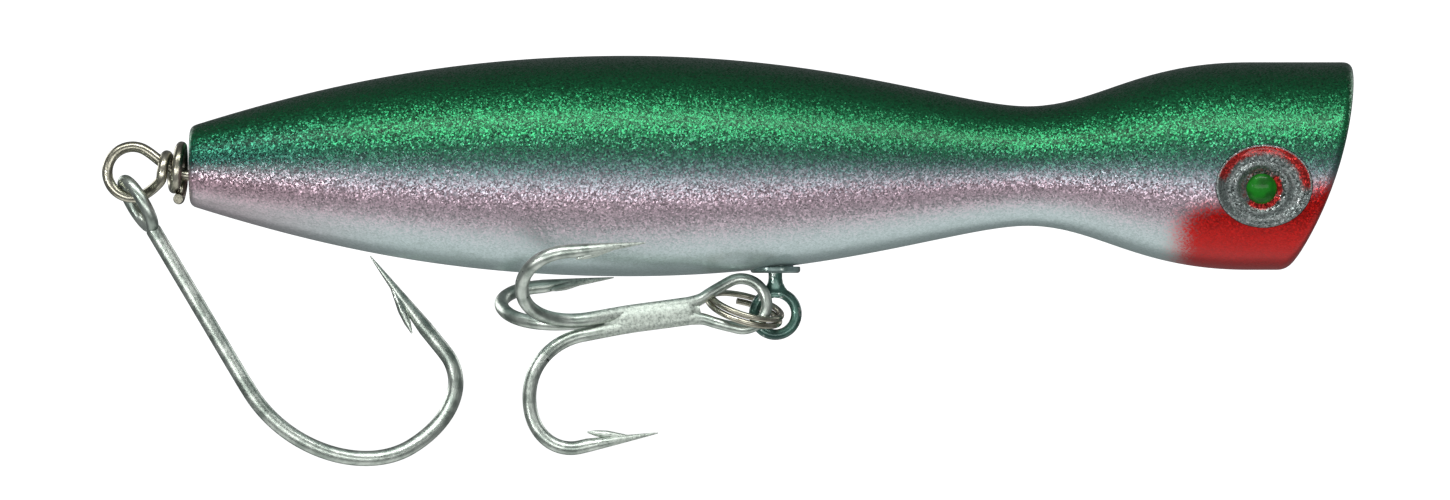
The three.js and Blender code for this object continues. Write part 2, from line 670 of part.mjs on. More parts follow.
// A needle point with a barb on its inner side; inner is the unit vector towards the shank.
function hookPoint(base, tip, inner, diameter) {
  const along = tip.clone().sub(base).normalize();
  const start = base.clone().addScaledVector(along, -0.2 * diameter);
  const spike = rod(start, tip, diameter / 2, NEEDLE_TIP);
  const root = base.clone().addScaledVector(along, 0.1 * BARB_LENGTH);
  const barbTip = root.clone().addScaledVector(inner, BARB_LIFT * diameter);
  const heel = root.clone().addScaledVector(along, BARB_LENGTH);
  return join(spike, rod(heel, barbTip, 0.3 * diameter, NEEDLE_TIP, 6));
}

const trebleEyeOuter = TREBLE_EYE_INNER_RADIUS + TREBLE_EYE_WIRE;
const trebleArmStart = TREBLE_SPLAY - TREBLE_LENGTH;
const shankCluster = 1.17 * (TREBLE_WIRE / Math.sqrt(3)); // three wires round the shank's axis

// One arm's route in the plane of the shank and a direction square to it, then its point.
function trebleArm(lead, out) {
  const at = (x, radius) => point(x, 0, 0).addScaledVector(out, radius);
  const bendX = -TREBLE_LENGTH;
  const deepest = 0.63 * TREBLE_REACH;
  const tipX = bendX + TREBLE_POINT_BACK;
  const limb = at(bendX + 4.6, TREBLE_REACH);
  const pointBase = at(tipX - TREBLE_POINT_LENGTH, TREBLE_REACH - 0.1);
  const route = [
    ...lead,
    ...bezier(
      at(trebleArmStart, shankCluster),
      at(lerp(trebleArmStart, bendX, 0.55), shankCluster),
      at(bendX, lerp(shankCluster, deepest, 0.4)),
      at(bendX, deepest),
      7,
    ),
    ...bezier(
      at(bendX, deepest),
      at(bendX, lerp(deepest, TREBLE_REACH, 0.6)),
      at(bendX + 2, TREBLE_REACH),
      limb,
      5,
    ).slice(1),
    pointBase,
  ];
  const tip = at(tipX, TREBLE_REACH - 0.4);
  const inner = out.clone().negate();
  return join(wire(route, TREBLE_WIRE, 28), hookPoint(pointBase, tip, inner, TREBLE_WIRE));
}

const armOut = (degrees) => point(0, Math.sin(degrees * DEGREE), -Math.cos(degrees * DEGREE));
const ARM_DOWN = armOut(0);
const ARM_NEAR = armOut(-120);
const ARM_FAR = armOut(120);

// Two arms and the pear-shaped eye, bent from one wire, with the braze that holds the third.
function trebleDouble() {
  const radius = TREBLE_EYE_INNER_RADIUS + TREBLE_EYE_WIRE / 2;
  const stack = 0.53 * TREBLE_WIRE;
  const eyeEnd = -trebleEyeOuter - TREBLE_EYE_NECK;
  const leg = (up) => [
    point(-1.17 * radius, 0, up * 0.6 * radius),
    point(-1.6 * radius, 0, up * 0.4 * radius),
    point(eyeEnd, 0, up * stack),
    point(eyeEnd - TREBLE_WIRE, 0, up * stack),
  ];
  const round = arc(point(0, 0, 0), radius, X_AXIS, Z_AXIS, 118, -118, 12);
  const eye = wire([...leg(1).reverse(), ...round, ...leg(-1)], TREBLE_EYE_WIRE, 26);
  const shank = (up) => [
    point(eyeEnd, 0, up * stack),
    point(lerp(eyeEnd, trebleArmStart, 0.25), 0, up * stack),
    point(lerp(eyeEnd, trebleArmStart, 0.6), 0, up * stack),
  ];
  const nearArm = trebleArm(shank(1), ARM_NEAR);
  const downArm = trebleArm(shank(-1), ARM_DOWN);
  const brazeEnd = lerp(-trebleEyeOuter, trebleArmStart, BRAZE_END_SHARE);
  const low = point(brazeEnd, -0.62 * TREBLE_WIRE, -0.9 * TREBLE_WIRE);
  const high = point(eyeEnd - 0.3 * TREBLE_WIRE, BRAZE_SIDE * TREBLE_WIRE, 0.9 * TREBLE_WIRE);
  return join(eye, nearArm, downArm, block(low, high));
}

// The third arm, whose short shank lies against the other two.
function trebleSingle() {
  const beside = BRAZE_SIDE * TREBLE_WIRE + FIT_GAP + TREBLE_WIRE / 2;
  const lead = [
    point(-trebleEyeOuter - 2.5 * TREBLE_WIRE, beside, 0),
    point(lerp(-trebleEyeOuter, trebleArmStart, 0.8), beside, 0.15),
  ];
  return trebleArm(lead, ARM_FAR);
}

function placeTreble(group) {
  const { back, up } = TREBLE_OFFSET;
  const side = -TREBLE_EYE_SIDE - TREBLE_EYE_WIRE / 2;
  group.position.set(hangerX - back, side, ringZ + up);
  const turn = [TREBLE_ROLL, TREBLE_PITCH, TREBLE_YAW].map((angle) => angle * DEGREE);
  group.rotation.set(...turn, "ZYX");
}

// The tail hook lies along -Z from its eye, with its gape towards +X.
function tailHook() {
  const eyeCore = WIRE_RADIUS + TAIL_HOOK_EYE_WIRE / 2;
  const halfLength = eyeCore + TAIL_HOOK_EYE_ROOM.along;
  const halfWidth = eyeCore + TAIL_HOOK_EYE_ROOM.across;
  const bottom = -TAIL_HOOK_LENGTH;
  const at = (x, z) => point(x, 0, z);
  const limb = at(TAIL_HOOK_GAPE, bottom + 6.6);
  const pointAt = (lean, short) => at(TAIL_HOOK_GAPE - lean, bottom + TAIL_HOOK_POINT_BACK - short);
  const base = pointAt(TAIL_HOOK_POINT_LEAN.base, TAIL_HOOK_POINT_LENGTH);
  const shank = [at(0, -halfLength), at(0, -TAIL_HOOK_STRAIGHT * 0.5)];
  const sweep = bezier(
    at(0, -TAIL_HOOK_STRAIGHT),
    at(0, lerp(-TAIL_HOOK_STRAIGHT, bottom, 0.55)),
    at(0.3 * TAIL_HOOK_GAPE, bottom),
    at(0.58 * TAIL_HOOK_GAPE, bottom),
    9,
  );
  const turnUp = bezier(
    at(0.58 * TAIL_HOOK_GAPE, bottom),
    at(0.82 * TAIL_HOOK_GAPE, bottom),
    at(TAIL_HOOK_GAPE, bottom + 2.6),
    limb,
    7,
  ).slice(1);
  const body = wire([...shank, ...sweep, ...turnUp, base], TAIL_HOOK_WIRE, 34);
  const tip = pointAt(TAIL_HOOK_POINT_LEAN.tip, 0);
  const lean = (TAIL_HOOK_EYE_TWIST - TAIL_HOOK_TURN) * DEGREE;
  const across = point(Math.sin(lean), -Math.cos(lean), 0);
  const oval = Array.from({ length: 17 }, (_, i) => {
    const angle = (-86 + (352 * i) / 16) * DEGREE;
    const reach = halfWidth * Math.cos(angle);
    return point(0, 0, halfLength * Math.sin(angle)).addScaledVector(across, reach);
  });
  const eye = wire(oval, TAIL_HOOK_EYE_WIRE, 24);
  return join(body, eye, hookPoint(base, tip, point(-1, 0, 0), TAIL_HOOK_WIRE));
}

function placeTailHook(group) {
  const radius = TAIL_LOOP_INNER_RADIUS + WIRE_RADIUS;
  const seat = TAIL_HOOK_SEAT * DEGREE;
  const droop = TAIL_HOOK_DROOP * DEGREE;
  const seatX = TAIL_X - TAIL_LOOP_GAP + radius * Math.cos(seat);
  const seatZ = TAIL_LOOP_Z + radius * Math.sin(seat);
  const x = seatX + TAIL_HOOK_HANG * Math.cos(droop);
  group.position.set(x, 0, seatZ - TAIL_HOOK_HANG * Math.sin(droop));
  group.rotation.set(0, droop - Math.PI / 2, TAIL_HOOK_TURN * DEGREE, "YXZ");
}

// ---------------------------------------------------------------- assembly

const finish = (name, color, roughness, metalness) =>
  new THREE.MeshStandardMaterial({ name, color, roughness, metalness });

const PAINT = [0x3f7f5c, 0.25, 0.3];
const STAINLESS = [0xb9b7a6, 0.3, 1.0];
const TINNED = [0xb4bdb4, 0.38, 1.0];
const LEAD = [0x6f7377, 0.6, 1.0];
const OVERSPRAYED = [0x3f5f55, 0.4, 0.5];
const BRASS = [0xb08d4a, 0.35, 1.0];
const GLITTER = [0x8e9499, 0.35, 0.6];
const EYE_GREEN = [0x0a8a12, 0.15, 0.0];

function piece(parent, name, made, [color, roughness, metalness]) {
  const mesh = new THREE.Mesh(geometryOf(made), finish(name, color, roughness, metalness));
  mesh.name = name;
  parent.add(mesh);
}

const popper = new THREE.Group();
const shells = bodyShells();
piece(popper, "body_shell_right", shells.right, PAINT);
piece(popper, "body_shell_left", shells.left, PAINT);
piece(popper, "through_wire", throughWire(), STAINLESS);
piece(popper, "belly_weight", slug(BELLY_WEIGHT), LEAD);
piece(popper, "tail_weight", slug(TAIL_WEIGHT), LEAD);
piece(popper, "swivel_top_eye", swivelTopEye(), STAINLESS);
piece(popper, "swivel_barrel", swivelBarrel(), BRASS);
piece(popper, "swivel_bottom_eye", swivelBottomEye(), OVERSPRAYED);
piece(popper, "belly_grommet", bellyGrommet(), OVERSPRAYED);
for (const [side, word] of [[-1, "right"], [1, "left"]]) {
  piece(popper, `eye_dish_${word}`, eyeDish(side), GLITTER);
  piece(popper, `eye_pupil_${word}`, eyePupil(side), EYE_GREEN);
}

const ringGroup = new THREE.Group();
placeSplitRing(ringGroup);
piece(ringGroup, "split_ring", splitRing(), STAINLESS);
popper.add(ringGroup);

const trebleGroup = new THREE.Group();
placeTreble(trebleGroup);
piece(trebleGroup, "treble_double_hook", trebleDouble(), TINNED);
piece(trebleGroup, "treble_single_hook", trebleSingle(), TINNED);
popper.add(trebleGroup);

const tailHookGroup = new THREE.Group();
placeTailHook(tailHookGroup);
piece(tailHookGroup, "tail_hook", tailHook(), TINNED);
popper.add(tailHookGroup);

export default popper;
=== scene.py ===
"""Topwater popper: the fine meshes and finishes that stand for the CAD frame's visible pieces.

All sizes are in millimetres in the frame of the CAD part: the origin is the centre of the
line-tie ring, +X points to the nose, +Z to the back and -Y to the lure's right side.
Stations are distances from the tail face.
"""

import logging
import math
from collections.abc import Callable, Sequence
from dataclasses import dataclass, field
from enum import Enum
from functools import partial

import bpy
import numpy as np
from mathutils import Matrix, Vector


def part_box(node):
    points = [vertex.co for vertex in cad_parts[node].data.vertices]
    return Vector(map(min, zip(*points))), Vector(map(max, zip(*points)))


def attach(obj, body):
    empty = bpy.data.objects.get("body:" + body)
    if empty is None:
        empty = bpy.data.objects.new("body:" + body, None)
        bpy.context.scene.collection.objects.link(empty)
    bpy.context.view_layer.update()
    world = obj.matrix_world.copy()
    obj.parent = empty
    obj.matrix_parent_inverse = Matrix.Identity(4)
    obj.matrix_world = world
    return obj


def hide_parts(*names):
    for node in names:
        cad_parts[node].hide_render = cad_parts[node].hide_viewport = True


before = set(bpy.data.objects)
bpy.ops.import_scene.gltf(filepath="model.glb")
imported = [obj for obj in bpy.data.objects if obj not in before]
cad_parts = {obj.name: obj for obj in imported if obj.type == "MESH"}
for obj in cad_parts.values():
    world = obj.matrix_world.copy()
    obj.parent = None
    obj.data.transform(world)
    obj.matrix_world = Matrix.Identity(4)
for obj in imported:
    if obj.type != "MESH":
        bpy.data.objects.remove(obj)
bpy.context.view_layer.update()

log = logging.getLogger("popper")

MM = 0.001
SMOOTH_ANGLE = math.radians(38)
Points = np.ndarray


# ------------------------------------------------------------------ small tools


def vec(x: float, y: float, z: float) -> np.ndarray:
    """Returns a point or direction in millimetres."""
    return np.array([x, y, z], float)


def unit(v: np.ndarray) -> np.ndarray:
    """Returns v at length one."""
    return v / np.linalg.norm(v)


def smooth(low: float, high: float, value: np.ndarray) -> np.ndarray:
    """Returns 0 below low, 1 above high and an eased step between them."""
    t = np.clip((value - low) / (high - low), 0, 1)
    return t * t * (3 - 2 * t)


def bezier(a: Sequence[float], b: Sequence[float], c: Sequence[float], d: Sequence[float],
           steps: int) -> Points:
    """Returns steps + 1 points of a cubic curve.

    Args:
        a, b, c, d: the curve's ends and handles, in order.
        steps: number of segments.

    Returns:
        An array with one row for each point.
    """
    t = np.linspace(0, 1, steps + 1)[:, None]
    a, b, c, d = (np.asarray(p, float) for p in (a, b, c, d))
    return (1 - t) ** 3 * a + 3 * (1 - t) ** 2 * t * b + 3 * (1 - t) * t**2 * c + t**3 * d


def arc(centre: np.ndarray, radius: float, first: np.ndarray, second: np.ndarray,
        degrees: tuple[float, float], steps: int) -> Points:
    """Returns points of a circle's arc in the plane of two unit vectors.

    Args:
        centre: the circle's centre.
        radius: its radius.
        first: direction of angle 0.
        second: direction of angle 90.
        degrees: first and last angle.
        steps: number of segments.

    Returns:
        An array with one row for each point.
    """
    angle = np.radians(np.linspace(*degrees, steps + 1))[:, None]
    return centre + radius * (np.cos(angle) * first + np.sin(angle) * second)


def between(a: np.ndarray, b: np.ndarray, ta: float, tb: float, t: np.ndarray) -> Points:
    """Returns the points at t on the straight runs from a, at ta, to b, at tb."""
    return ((tb - t) * a + (t - ta) * b) / (tb - ta)


def smooth_route(points: Points, spacing: float) -> Points:
    """Returns a centripetal Catmull-Rom curve through points.

    Args:
        points: the points to pass through.
        spacing: distance between the curve's points.

    Returns:
        Evenly spaced points from the first point to the last.
    """
    p = np.vstack([2 * points[0] - points[1], points, 2 * points[-1] - points[-2]])
    fine = []
    for k in range(len(p) - 3):
        a, b, c, d = p[k:k + 4]
        gaps = np.sqrt(np.linalg.norm(np.diff(p[k:k + 4], axis=0), axis=1))
        ta, tb, tc, td = 0.0, gaps[0], gaps[:2].sum(), gaps.sum()
        t = np.linspace(tb, tc, 13)[:-1, None]
        ab = between(a, b, ta, tb, t)
        bc = between(b, c, tb, tc, t)
        cd = between(c, d, tc, td, t)
        fine.append(between(between(ab, bc, ta, tc, t), between(bc, cd, tb, td, t), tb, tc, t))
    return evenly(np.vstack([*fine, points[-1:]]), spacing)


def evenly(line: Points, spacing: float) -> Points:
    """Returns a polyline's points again at an even spacing."""
    step = np.linalg.norm(np.diff(line, axis=0), axis=1)
    along = np.concatenate([[0], np.cumsum(step)])
    wanted = np.linspace(0, along[-1], max(2, round(along[-1] / spacing)) + 1)
    return np.column_stack([np.interp(wanted, along, line[:, i]) for i in range(3)])


def add_object(name: str, mesh: bpy.types.Mesh) -> bpy.types.Object:
    """Links a mesh to the scene as an object at the origin."""
    made = bpy.data.objects.new(name, mesh)
    bpy.context.scene.collection.objects.link(made)
    return made


def mesh_object(name: str, points: Points, faces: Sequence[Sequence[int]]) -> bpy.types.Object:
    """Makes a mesh object from points in millimetres.

    Args:
        name: the object's name.
        points: one row for each vertex.
        faces: vertex numbers of each face, turning outwards.

    Returns:
        The object, at the origin.
    """
    mesh = bpy.data.meshes.new(name)
    mesh.from_pydata((np.asarray(points) * MM).tolist(), [], faces)
    mesh.update()
    return add_object(name, mesh)


def drop(thing: bpy.types.Object) -> None:
    """Removes a helper object and its mesh."""
    mesh = thing.data
    bpy.data.objects.remove(thing)
    bpy.data.meshes.remove(mesh)


def settle(thing: bpy.types.Object) -> bpy.types.Object:
    """Makes what the object's modifiers give its own mesh, and removes them."""
    dg = bpy.context.evaluated_depsgraph_get()
    mesh = bpy.data.meshes.new_from_object(thing.evaluated_get(dg))
    old = thing.data
    thing.modifiers.clear()
    thing.data = mesh
    bpy.data.meshes.remove(old)
    return thing


class Cut(Enum):
    """What a boolean does with the second solid."""

    AWAY = "DIFFERENCE"
    JOIN = "UNION"
    KEEP = "INTERSECT"


def combine(base: bpy.types.Object, tools: Sequence[bpy.types.Object], how: Cut) -> bpy.types.Object:
    """Cuts or joins closed solids and removes the tools.

    Args:
        base: the solid that stays.
        tools: the other solids, used one after the other.
        how: away, join or keep.

    Returns:
        The base, with its new mesh.
    """
    for tool in tools:
        boolean = base.modifiers.new(how.name, "BOOLEAN")
        boolean.operation = how.value
        boolean.solver = "MANIFOLD"
        boolean.object = tool
        settle(base)
        drop(tool)
    return base


def rings_solid(name: str, rings: Sequence[Points]) -> bpy.types.Object:
    """Makes a closed surface through rings of points with a pole at each end.

    Args:
        name: the object's name.
        rings: equal rings in order; the first and last hold one point each.

    Returns:
        The closed mesh object.
    """
    count = len(rings[1])
    points = np.vstack(rings)
    last = len(points) - 1
    faces = [(0, 1 + (i + 1) % count, 1 + i) for i in range(count)]
    for k in range(len(rings) - 3):
        low = 1 + k * count
        high = low + count
        for i in range(count):
            j = (i + 1) % count
            faces.append((low + i, low + j, high + j, high + i))
    base = last - count
    faces += [(last, base + i, base + (i + 1) % count) for i in range(count)]
    return mesh_object(name, points, faces)


def turned(name: str, profile: Points, axis: np.ndarray, centre: np.ndarray,
           segments: int) -> bpy.types.Object:
    """Makes a turned solid whose profile starts and ends on its axis.

    Args:
        name: the object's name.
        profile: rows of distance along the axis and radius.
        axis: unit vector of the axis, X, Y or Z.
        centre: a point on the axis, where the distance is zero.
        segments: divisions of the turn.

    Returns:
        The closed mesh object.
    """
    first = vec(0, 0, 1) if axis[1] else vec(0, 1, 0)
    second = np.cross(axis, first)
    angle = np.linspace(0, 2 * math.pi, segments, endpoint=False)[:, None]
    rings = []
    for along, radius in profile:
        at = centre + along * axis
        ring = at + radius * (np.cos(angle) * first + np.sin(angle) * second)
        rings.append(at[None] if radius < 1e-6 else ring)
    return rings_solid(name, rings)


def box_solid(name: str, low: np.ndarray, high: np.ndarray) -> bpy.types.Object:
    """Makes a plain block between two corners, used only to cut."""
    corners = np.array([[x, y, z] for z in (low[2], high[2]) for y in (low[1], high[1])
                        for x in (low[0], high[0])])
    faces = [(0, 2, 3, 1), (4, 5, 7, 6), (0, 1, 5, 4), (2, 6, 7, 3), (0, 4, 6, 2), (1, 3, 7, 5)]
    return mesh_object(name, corners, faces)


def feed(made: bpy.types.Node, inputs: dict[object, object]) -> None:
    """Links or sets a node's inputs.

    Args:
        made: the node.
        inputs: for each input's name or number, a value to set, or an output or a node to link.
    """
    for key, value in inputs.items():
        if isinstance(value, bpy.types.Node):
            value = next(output for output in value.outputs if output.enabled)
        if isinstance(value, bpy.types.NodeSocket):
            made.id_data.links.new(value, made.inputs[key])
        else:
            made.inputs[key].default_value = value


def node(tree: bpy.types.NodeTree, kind: str, settings: dict[str, object] | None = None,
         inputs: dict[object, object] | None = None) -> bpy.types.Node:
    """Adds a node with its settings, and links or sets its inputs.

    Args:
        tree: the tree it goes in.
        kind: the node's type.
        settings: the node's own properties.
        inputs: for each input's name or number, a value to set, or an output or a node to link.

    Returns:
        The node.
    """
    made = tree.nodes.new(kind)
    for key, value in (settings or {}).items():
        setattr(made, key, value)
    feed(made, inputs or {})
    return made


# ------------------------------------------------------------------ drawn wire, by Geometry Nodes


class WireTree:
    """The node tree that draws round wire along a path, and the one that coils a split ring."""

    def __init__(self) -> None:
        """Builds both trees."""
        self.drawn = self._drawn()
        self.coiled = self._coiled()

    @staticmethod
    def _new_tree(name: str, inputs: Sequence[tuple[str, str]]) -> bpy.types.NodeTree:
        """Starts a tree with named inputs and one geometry output.

        Args:
            name: the tree's name.
            inputs: name and socket type of each input.

        Returns:
            The tree.
        """
        tree = bpy.data.node_groups.new(name, "GeometryNodeTree")
        for label, kind in inputs:
            tree.interface.new_socket(name=label, in_out="INPUT", socket_type=kind)
        tree.interface.new_socket(name="Geometry", in_out="OUTPUT", socket_type="NodeSocketGeometry")
        return tree

    @staticmethod
    def _finish(tree: bpy.types.NodeTree, curve: bpy.types.NodeSocket, scale: bpy.types.NodeSocket,
                start: bpy.types.Node) -> None:
        """Sweeps a circle along a curve and ends the tree.

        Args:
            tree: the tree.
            curve: the curve to follow.
            scale: the wire's radius along it.
            start: the tree's Group Input node.
        """
        along = node(tree, "GeometryNodeSplineParameter")
        mark = node(tree, "GeometryNodeStoreNamedAttribute", {"domain": "POINT"},
                    {"Geometry": curve, "Name": "along", "Value": along.outputs["Length"]})
        circle = node(tree, "GeometryNodeCurvePrimitiveCircle", {"mode": "RADIUS"},
                      {"Resolution": start.outputs["Sides"], "Radius": 1.0})
        turn = node(tree, "GeometryNodeSplineParameter")
        mark_turn = node(tree, "GeometryNodeStoreNamedAttribute", {"domain": "POINT"},
                         {"Geometry": circle.outputs["Curve"], "Name": "around",
                          "Value": turn.outputs["Factor"]})
        sweep = node(tree, "GeometryNodeCurveToMesh", {},
                     {"Curve": mark.outputs["Geometry"], "Profile Curve": mark_turn.outputs["Geometry"],
                      "Scale": scale, "Fill Caps": True})
        real = node(tree, "GeometryNodeRealizeInstances", {}, {"Geometry": sweep.outputs["Mesh"]})
        dress = node(tree, "GeometryNodeSetMaterial", {},
                     {"Geometry": real.outputs["Geometry"], "Material": start.outputs["Finish"]})
        node(tree, "NodeGroupOutput", {}, {"Geometry": dress.outputs["Geometry"]})

    def _drawn(self) -> bpy.types.NodeTree:
        """Returns the tree that follows a mesh path and reads its radius from an attribute."""
        tree = self._new_tree("drawn_wire", [("Path", "NodeSocketGeometry"),
                                             ("Sides", "NodeSocketInt"),
                                             ("Finish", "NodeSocketMaterial")])
        start = node(tree, "NodeGroupInput")
        path = node(tree, "GeometryNodeMeshToCurve", {}, {"Mesh": start.outputs["Path"]})
        girth = node(tree, "GeometryNodeInputNamedAttribute", {"data_type": "FLOAT"}, {"Name": "girth"})
        self._finish(tree, path.outputs["Curve"], girth.outputs["Attribute"], start)
        return tree

    def _coiled(self) -> bpy.types.NodeTree:
        """Returns the tree that coils wire into a ring of close turns."""
        tree = self._new_tree("coiled_wire", [("Path", "NodeSocketGeometry"),
                                              ("Sides", "NodeSocketInt"),
                                              ("Finish", "NodeSocketMaterial"),
                                              ("Turns", "NodeSocketFloat"),
                                              ("Coil Radius", "NodeSocketFloat"),
                                              ("Height", "NodeSocketFloat"),
                                              ("Wire Radius", "NodeSocketFloat"),
                                              ("Steps", "NodeSocketInt")])
        start = node(tree, "NodeGroupInput")
        spiral = node(tree, "GeometryNodeCurveSpiral", {},
                      {"Resolution": start.outputs["Steps"], "Rotations": start.outputs["Turns"],
                       "Start Radius": start.outputs["Coil Radius"],
                       "End Radius": start.outputs["Coil Radius"], "Height": start.outputs["Height"]})
        self._finish(tree, spiral.outputs["Curve"], start.outputs["Wire Radius"], start)
        return tree

    @staticmethod
    def _apply(thing: bpy.types.Object, tree: bpy.types.NodeTree, values: dict[str, object]) -> None:
        """Runs a tree on an object with named values and makes the result its mesh.

        Args:
            thing: the object that carries the path.
            tree: the tree to run.
            values: the value of each input, by its name.
        """
        modifier = thing.modifiers.new(tree.name, "NODES")
        modifier.node_group = tree
        for item in tree.interface.items_tree:
            if item.item_type == "SOCKET" and item.in_out == "INPUT" and item.name in values:
                modifier[item.identifier] = values[item.name]
        settle(thing)

    def wire(self, name: str, line: Points, radius: float | Points, sides: int,
             finish: bpy.types.Material, closed: bool = False) -> bpy.types.Object:
        """Draws wire along a line.

        Args:
            name: the object's name.
            line: the points that its centre follows, in millimetres.
            radius: one radius, or one for each point.
            sides: divisions of its girth.
            finish: its material.
            closed: whether the last point joins the first.

        Returns:
            The closed mesh object.
        """
        mesh = bpy.data.meshes.new(name)
        edges = [(i, i + 1) for i in range(len(line) - 1)]
        if closed:
            edges.append((len(line) - 1, 0))
        mesh.from_pydata((line * MM).tolist(), edges, [])
        girth = mesh.attributes.new("girth", "FLOAT", "POINT")
        girth.data.foreach_set("value", np.broadcast_to(np.asarray(radius, float) * MM, len(line)).copy())
        thing = add_object(name, mesh)
        self._apply(thing, self.drawn, {"Sides": sides, "Finish": finish})
        return thing

    def coil(self, name: str, radius: float, wire_radius: float, turns: float, pitch: float,
             sides: int, finish: bpy.types.Material) -> bpy.types.Object:
        """Coils a split ring round the Z axis.

        Args:
            name: the object's name.
            radius: of the coil's centre line, in millimetres.
            wire_radius: of the wire.
            turns: number of turns.
            pitch: rise in each turn.
            sides: divisions of the wire's girth.
            finish: its material.

        Returns:
            The closed mesh object, with its middle at the origin.
        """
        thing = add_object(name, bpy.data.meshes.new(name))
        steps_in_turn = 72
        self._apply(thing, self.coiled, {
            "Sides": sides, "Finish": finish, "Turns": turns, "Coil Radius": radius * MM,
            "Height": turns * pitch * MM, "Wire Radius": wire_radius * MM, "Steps": steps_in_turn,
        })
        return thing


# ------------------------------------------------------------------ finishes


def linear(code: str) -> tuple[float, float, float, float]:
    """Returns an sRGB hex colour as linear red, green, blue and alpha."""
    parts = [int(code[i:i + 2], 16) / 255 for i in (1, 3, 5)]
    red, green, blue = (c / 12.92 if c <= 0.04045 else ((c + 0.055) / 1.055) ** 2.4 for c in parts)
    return (red, green, blue, 1.0)


def per_mm(size: float) -> float:
    """Returns the texture scale whose cells are that many millimetres across."""
    return 1 / (size * MM)


MIX = {"data_type": "RGBA"}
EASED = {"interpolation_type": "SMOOTHSTEP"}
COLOUR_A, COLOUR_B = 6, 7  # inputs of a Mix node that mixes colours


@dataclass(frozen=True)
class Finish:
    """What every finish has: a name, and a principled shader in a fresh tree."""

    name: str

    def start(self) -> tuple[bpy.types.Material, Callable[..., bpy.types.Node], bpy.types.Node]:
        """Returns the new material, a way to add nodes to it, and its shader."""
        material = bpy.data.materials.new(self.name)
        material.use_nodes = True
        tree = material.node_tree
        return material, partial(node, tree), tree.nodes["Principled BSDF"]


@dataclass(frozen=True)
class Flakes:
    """Metal flakes in clear lacquer that each lie at a slant of their own."""

    size: float  # mm
    tilt: float  # how far they lean, 0 for level

    def build(self, add: Callable[..., bpy.types.Node], share: object = 1.0
              ) -> tuple[bpy.types.Node, bpy.types.Node]:
        """Adds the flakes to a material.

        Args:
            add: adds a node to the material's tree.
            share: how much of the lean shows, 0 to 1, as a number or an output.

        Returns:
            The nodes that give a random number for each flake, and its leaning normal.
        """
        where = add("ShaderNodeTexCoord").outputs["Object"]
        cells = add("ShaderNodeTexVoronoi", {}, {"Vector": where, "Scale": per_mm(self.size)})
        colour = cells.outputs["Color"]
        middle = add("ShaderNodeVectorMath", {"operation": "SUBTRACT"}, {0: colour, 1: (0.5, 0.5, 0.5)})
        tilt = add("ShaderNodeMath", {"operation": "MULTIPLY"}, {0: share, 1: self.tilt})
        lean = add("ShaderNodeVectorMath", {"operation": "SCALE"}, {0: middle, "Scale": tilt})
        surface = add("ShaderNodeNewGeometry").outputs["Normal"]
        total = add("ShaderNodeVectorMath", {"operation": "ADD"}, {0: surface, 1: lean})
        level = add("ShaderNodeVectorMath", {"operation": "NORMALIZE"}, {0: total})
        return add("ShaderNodeSeparateColor", {}, {0: colour}), level


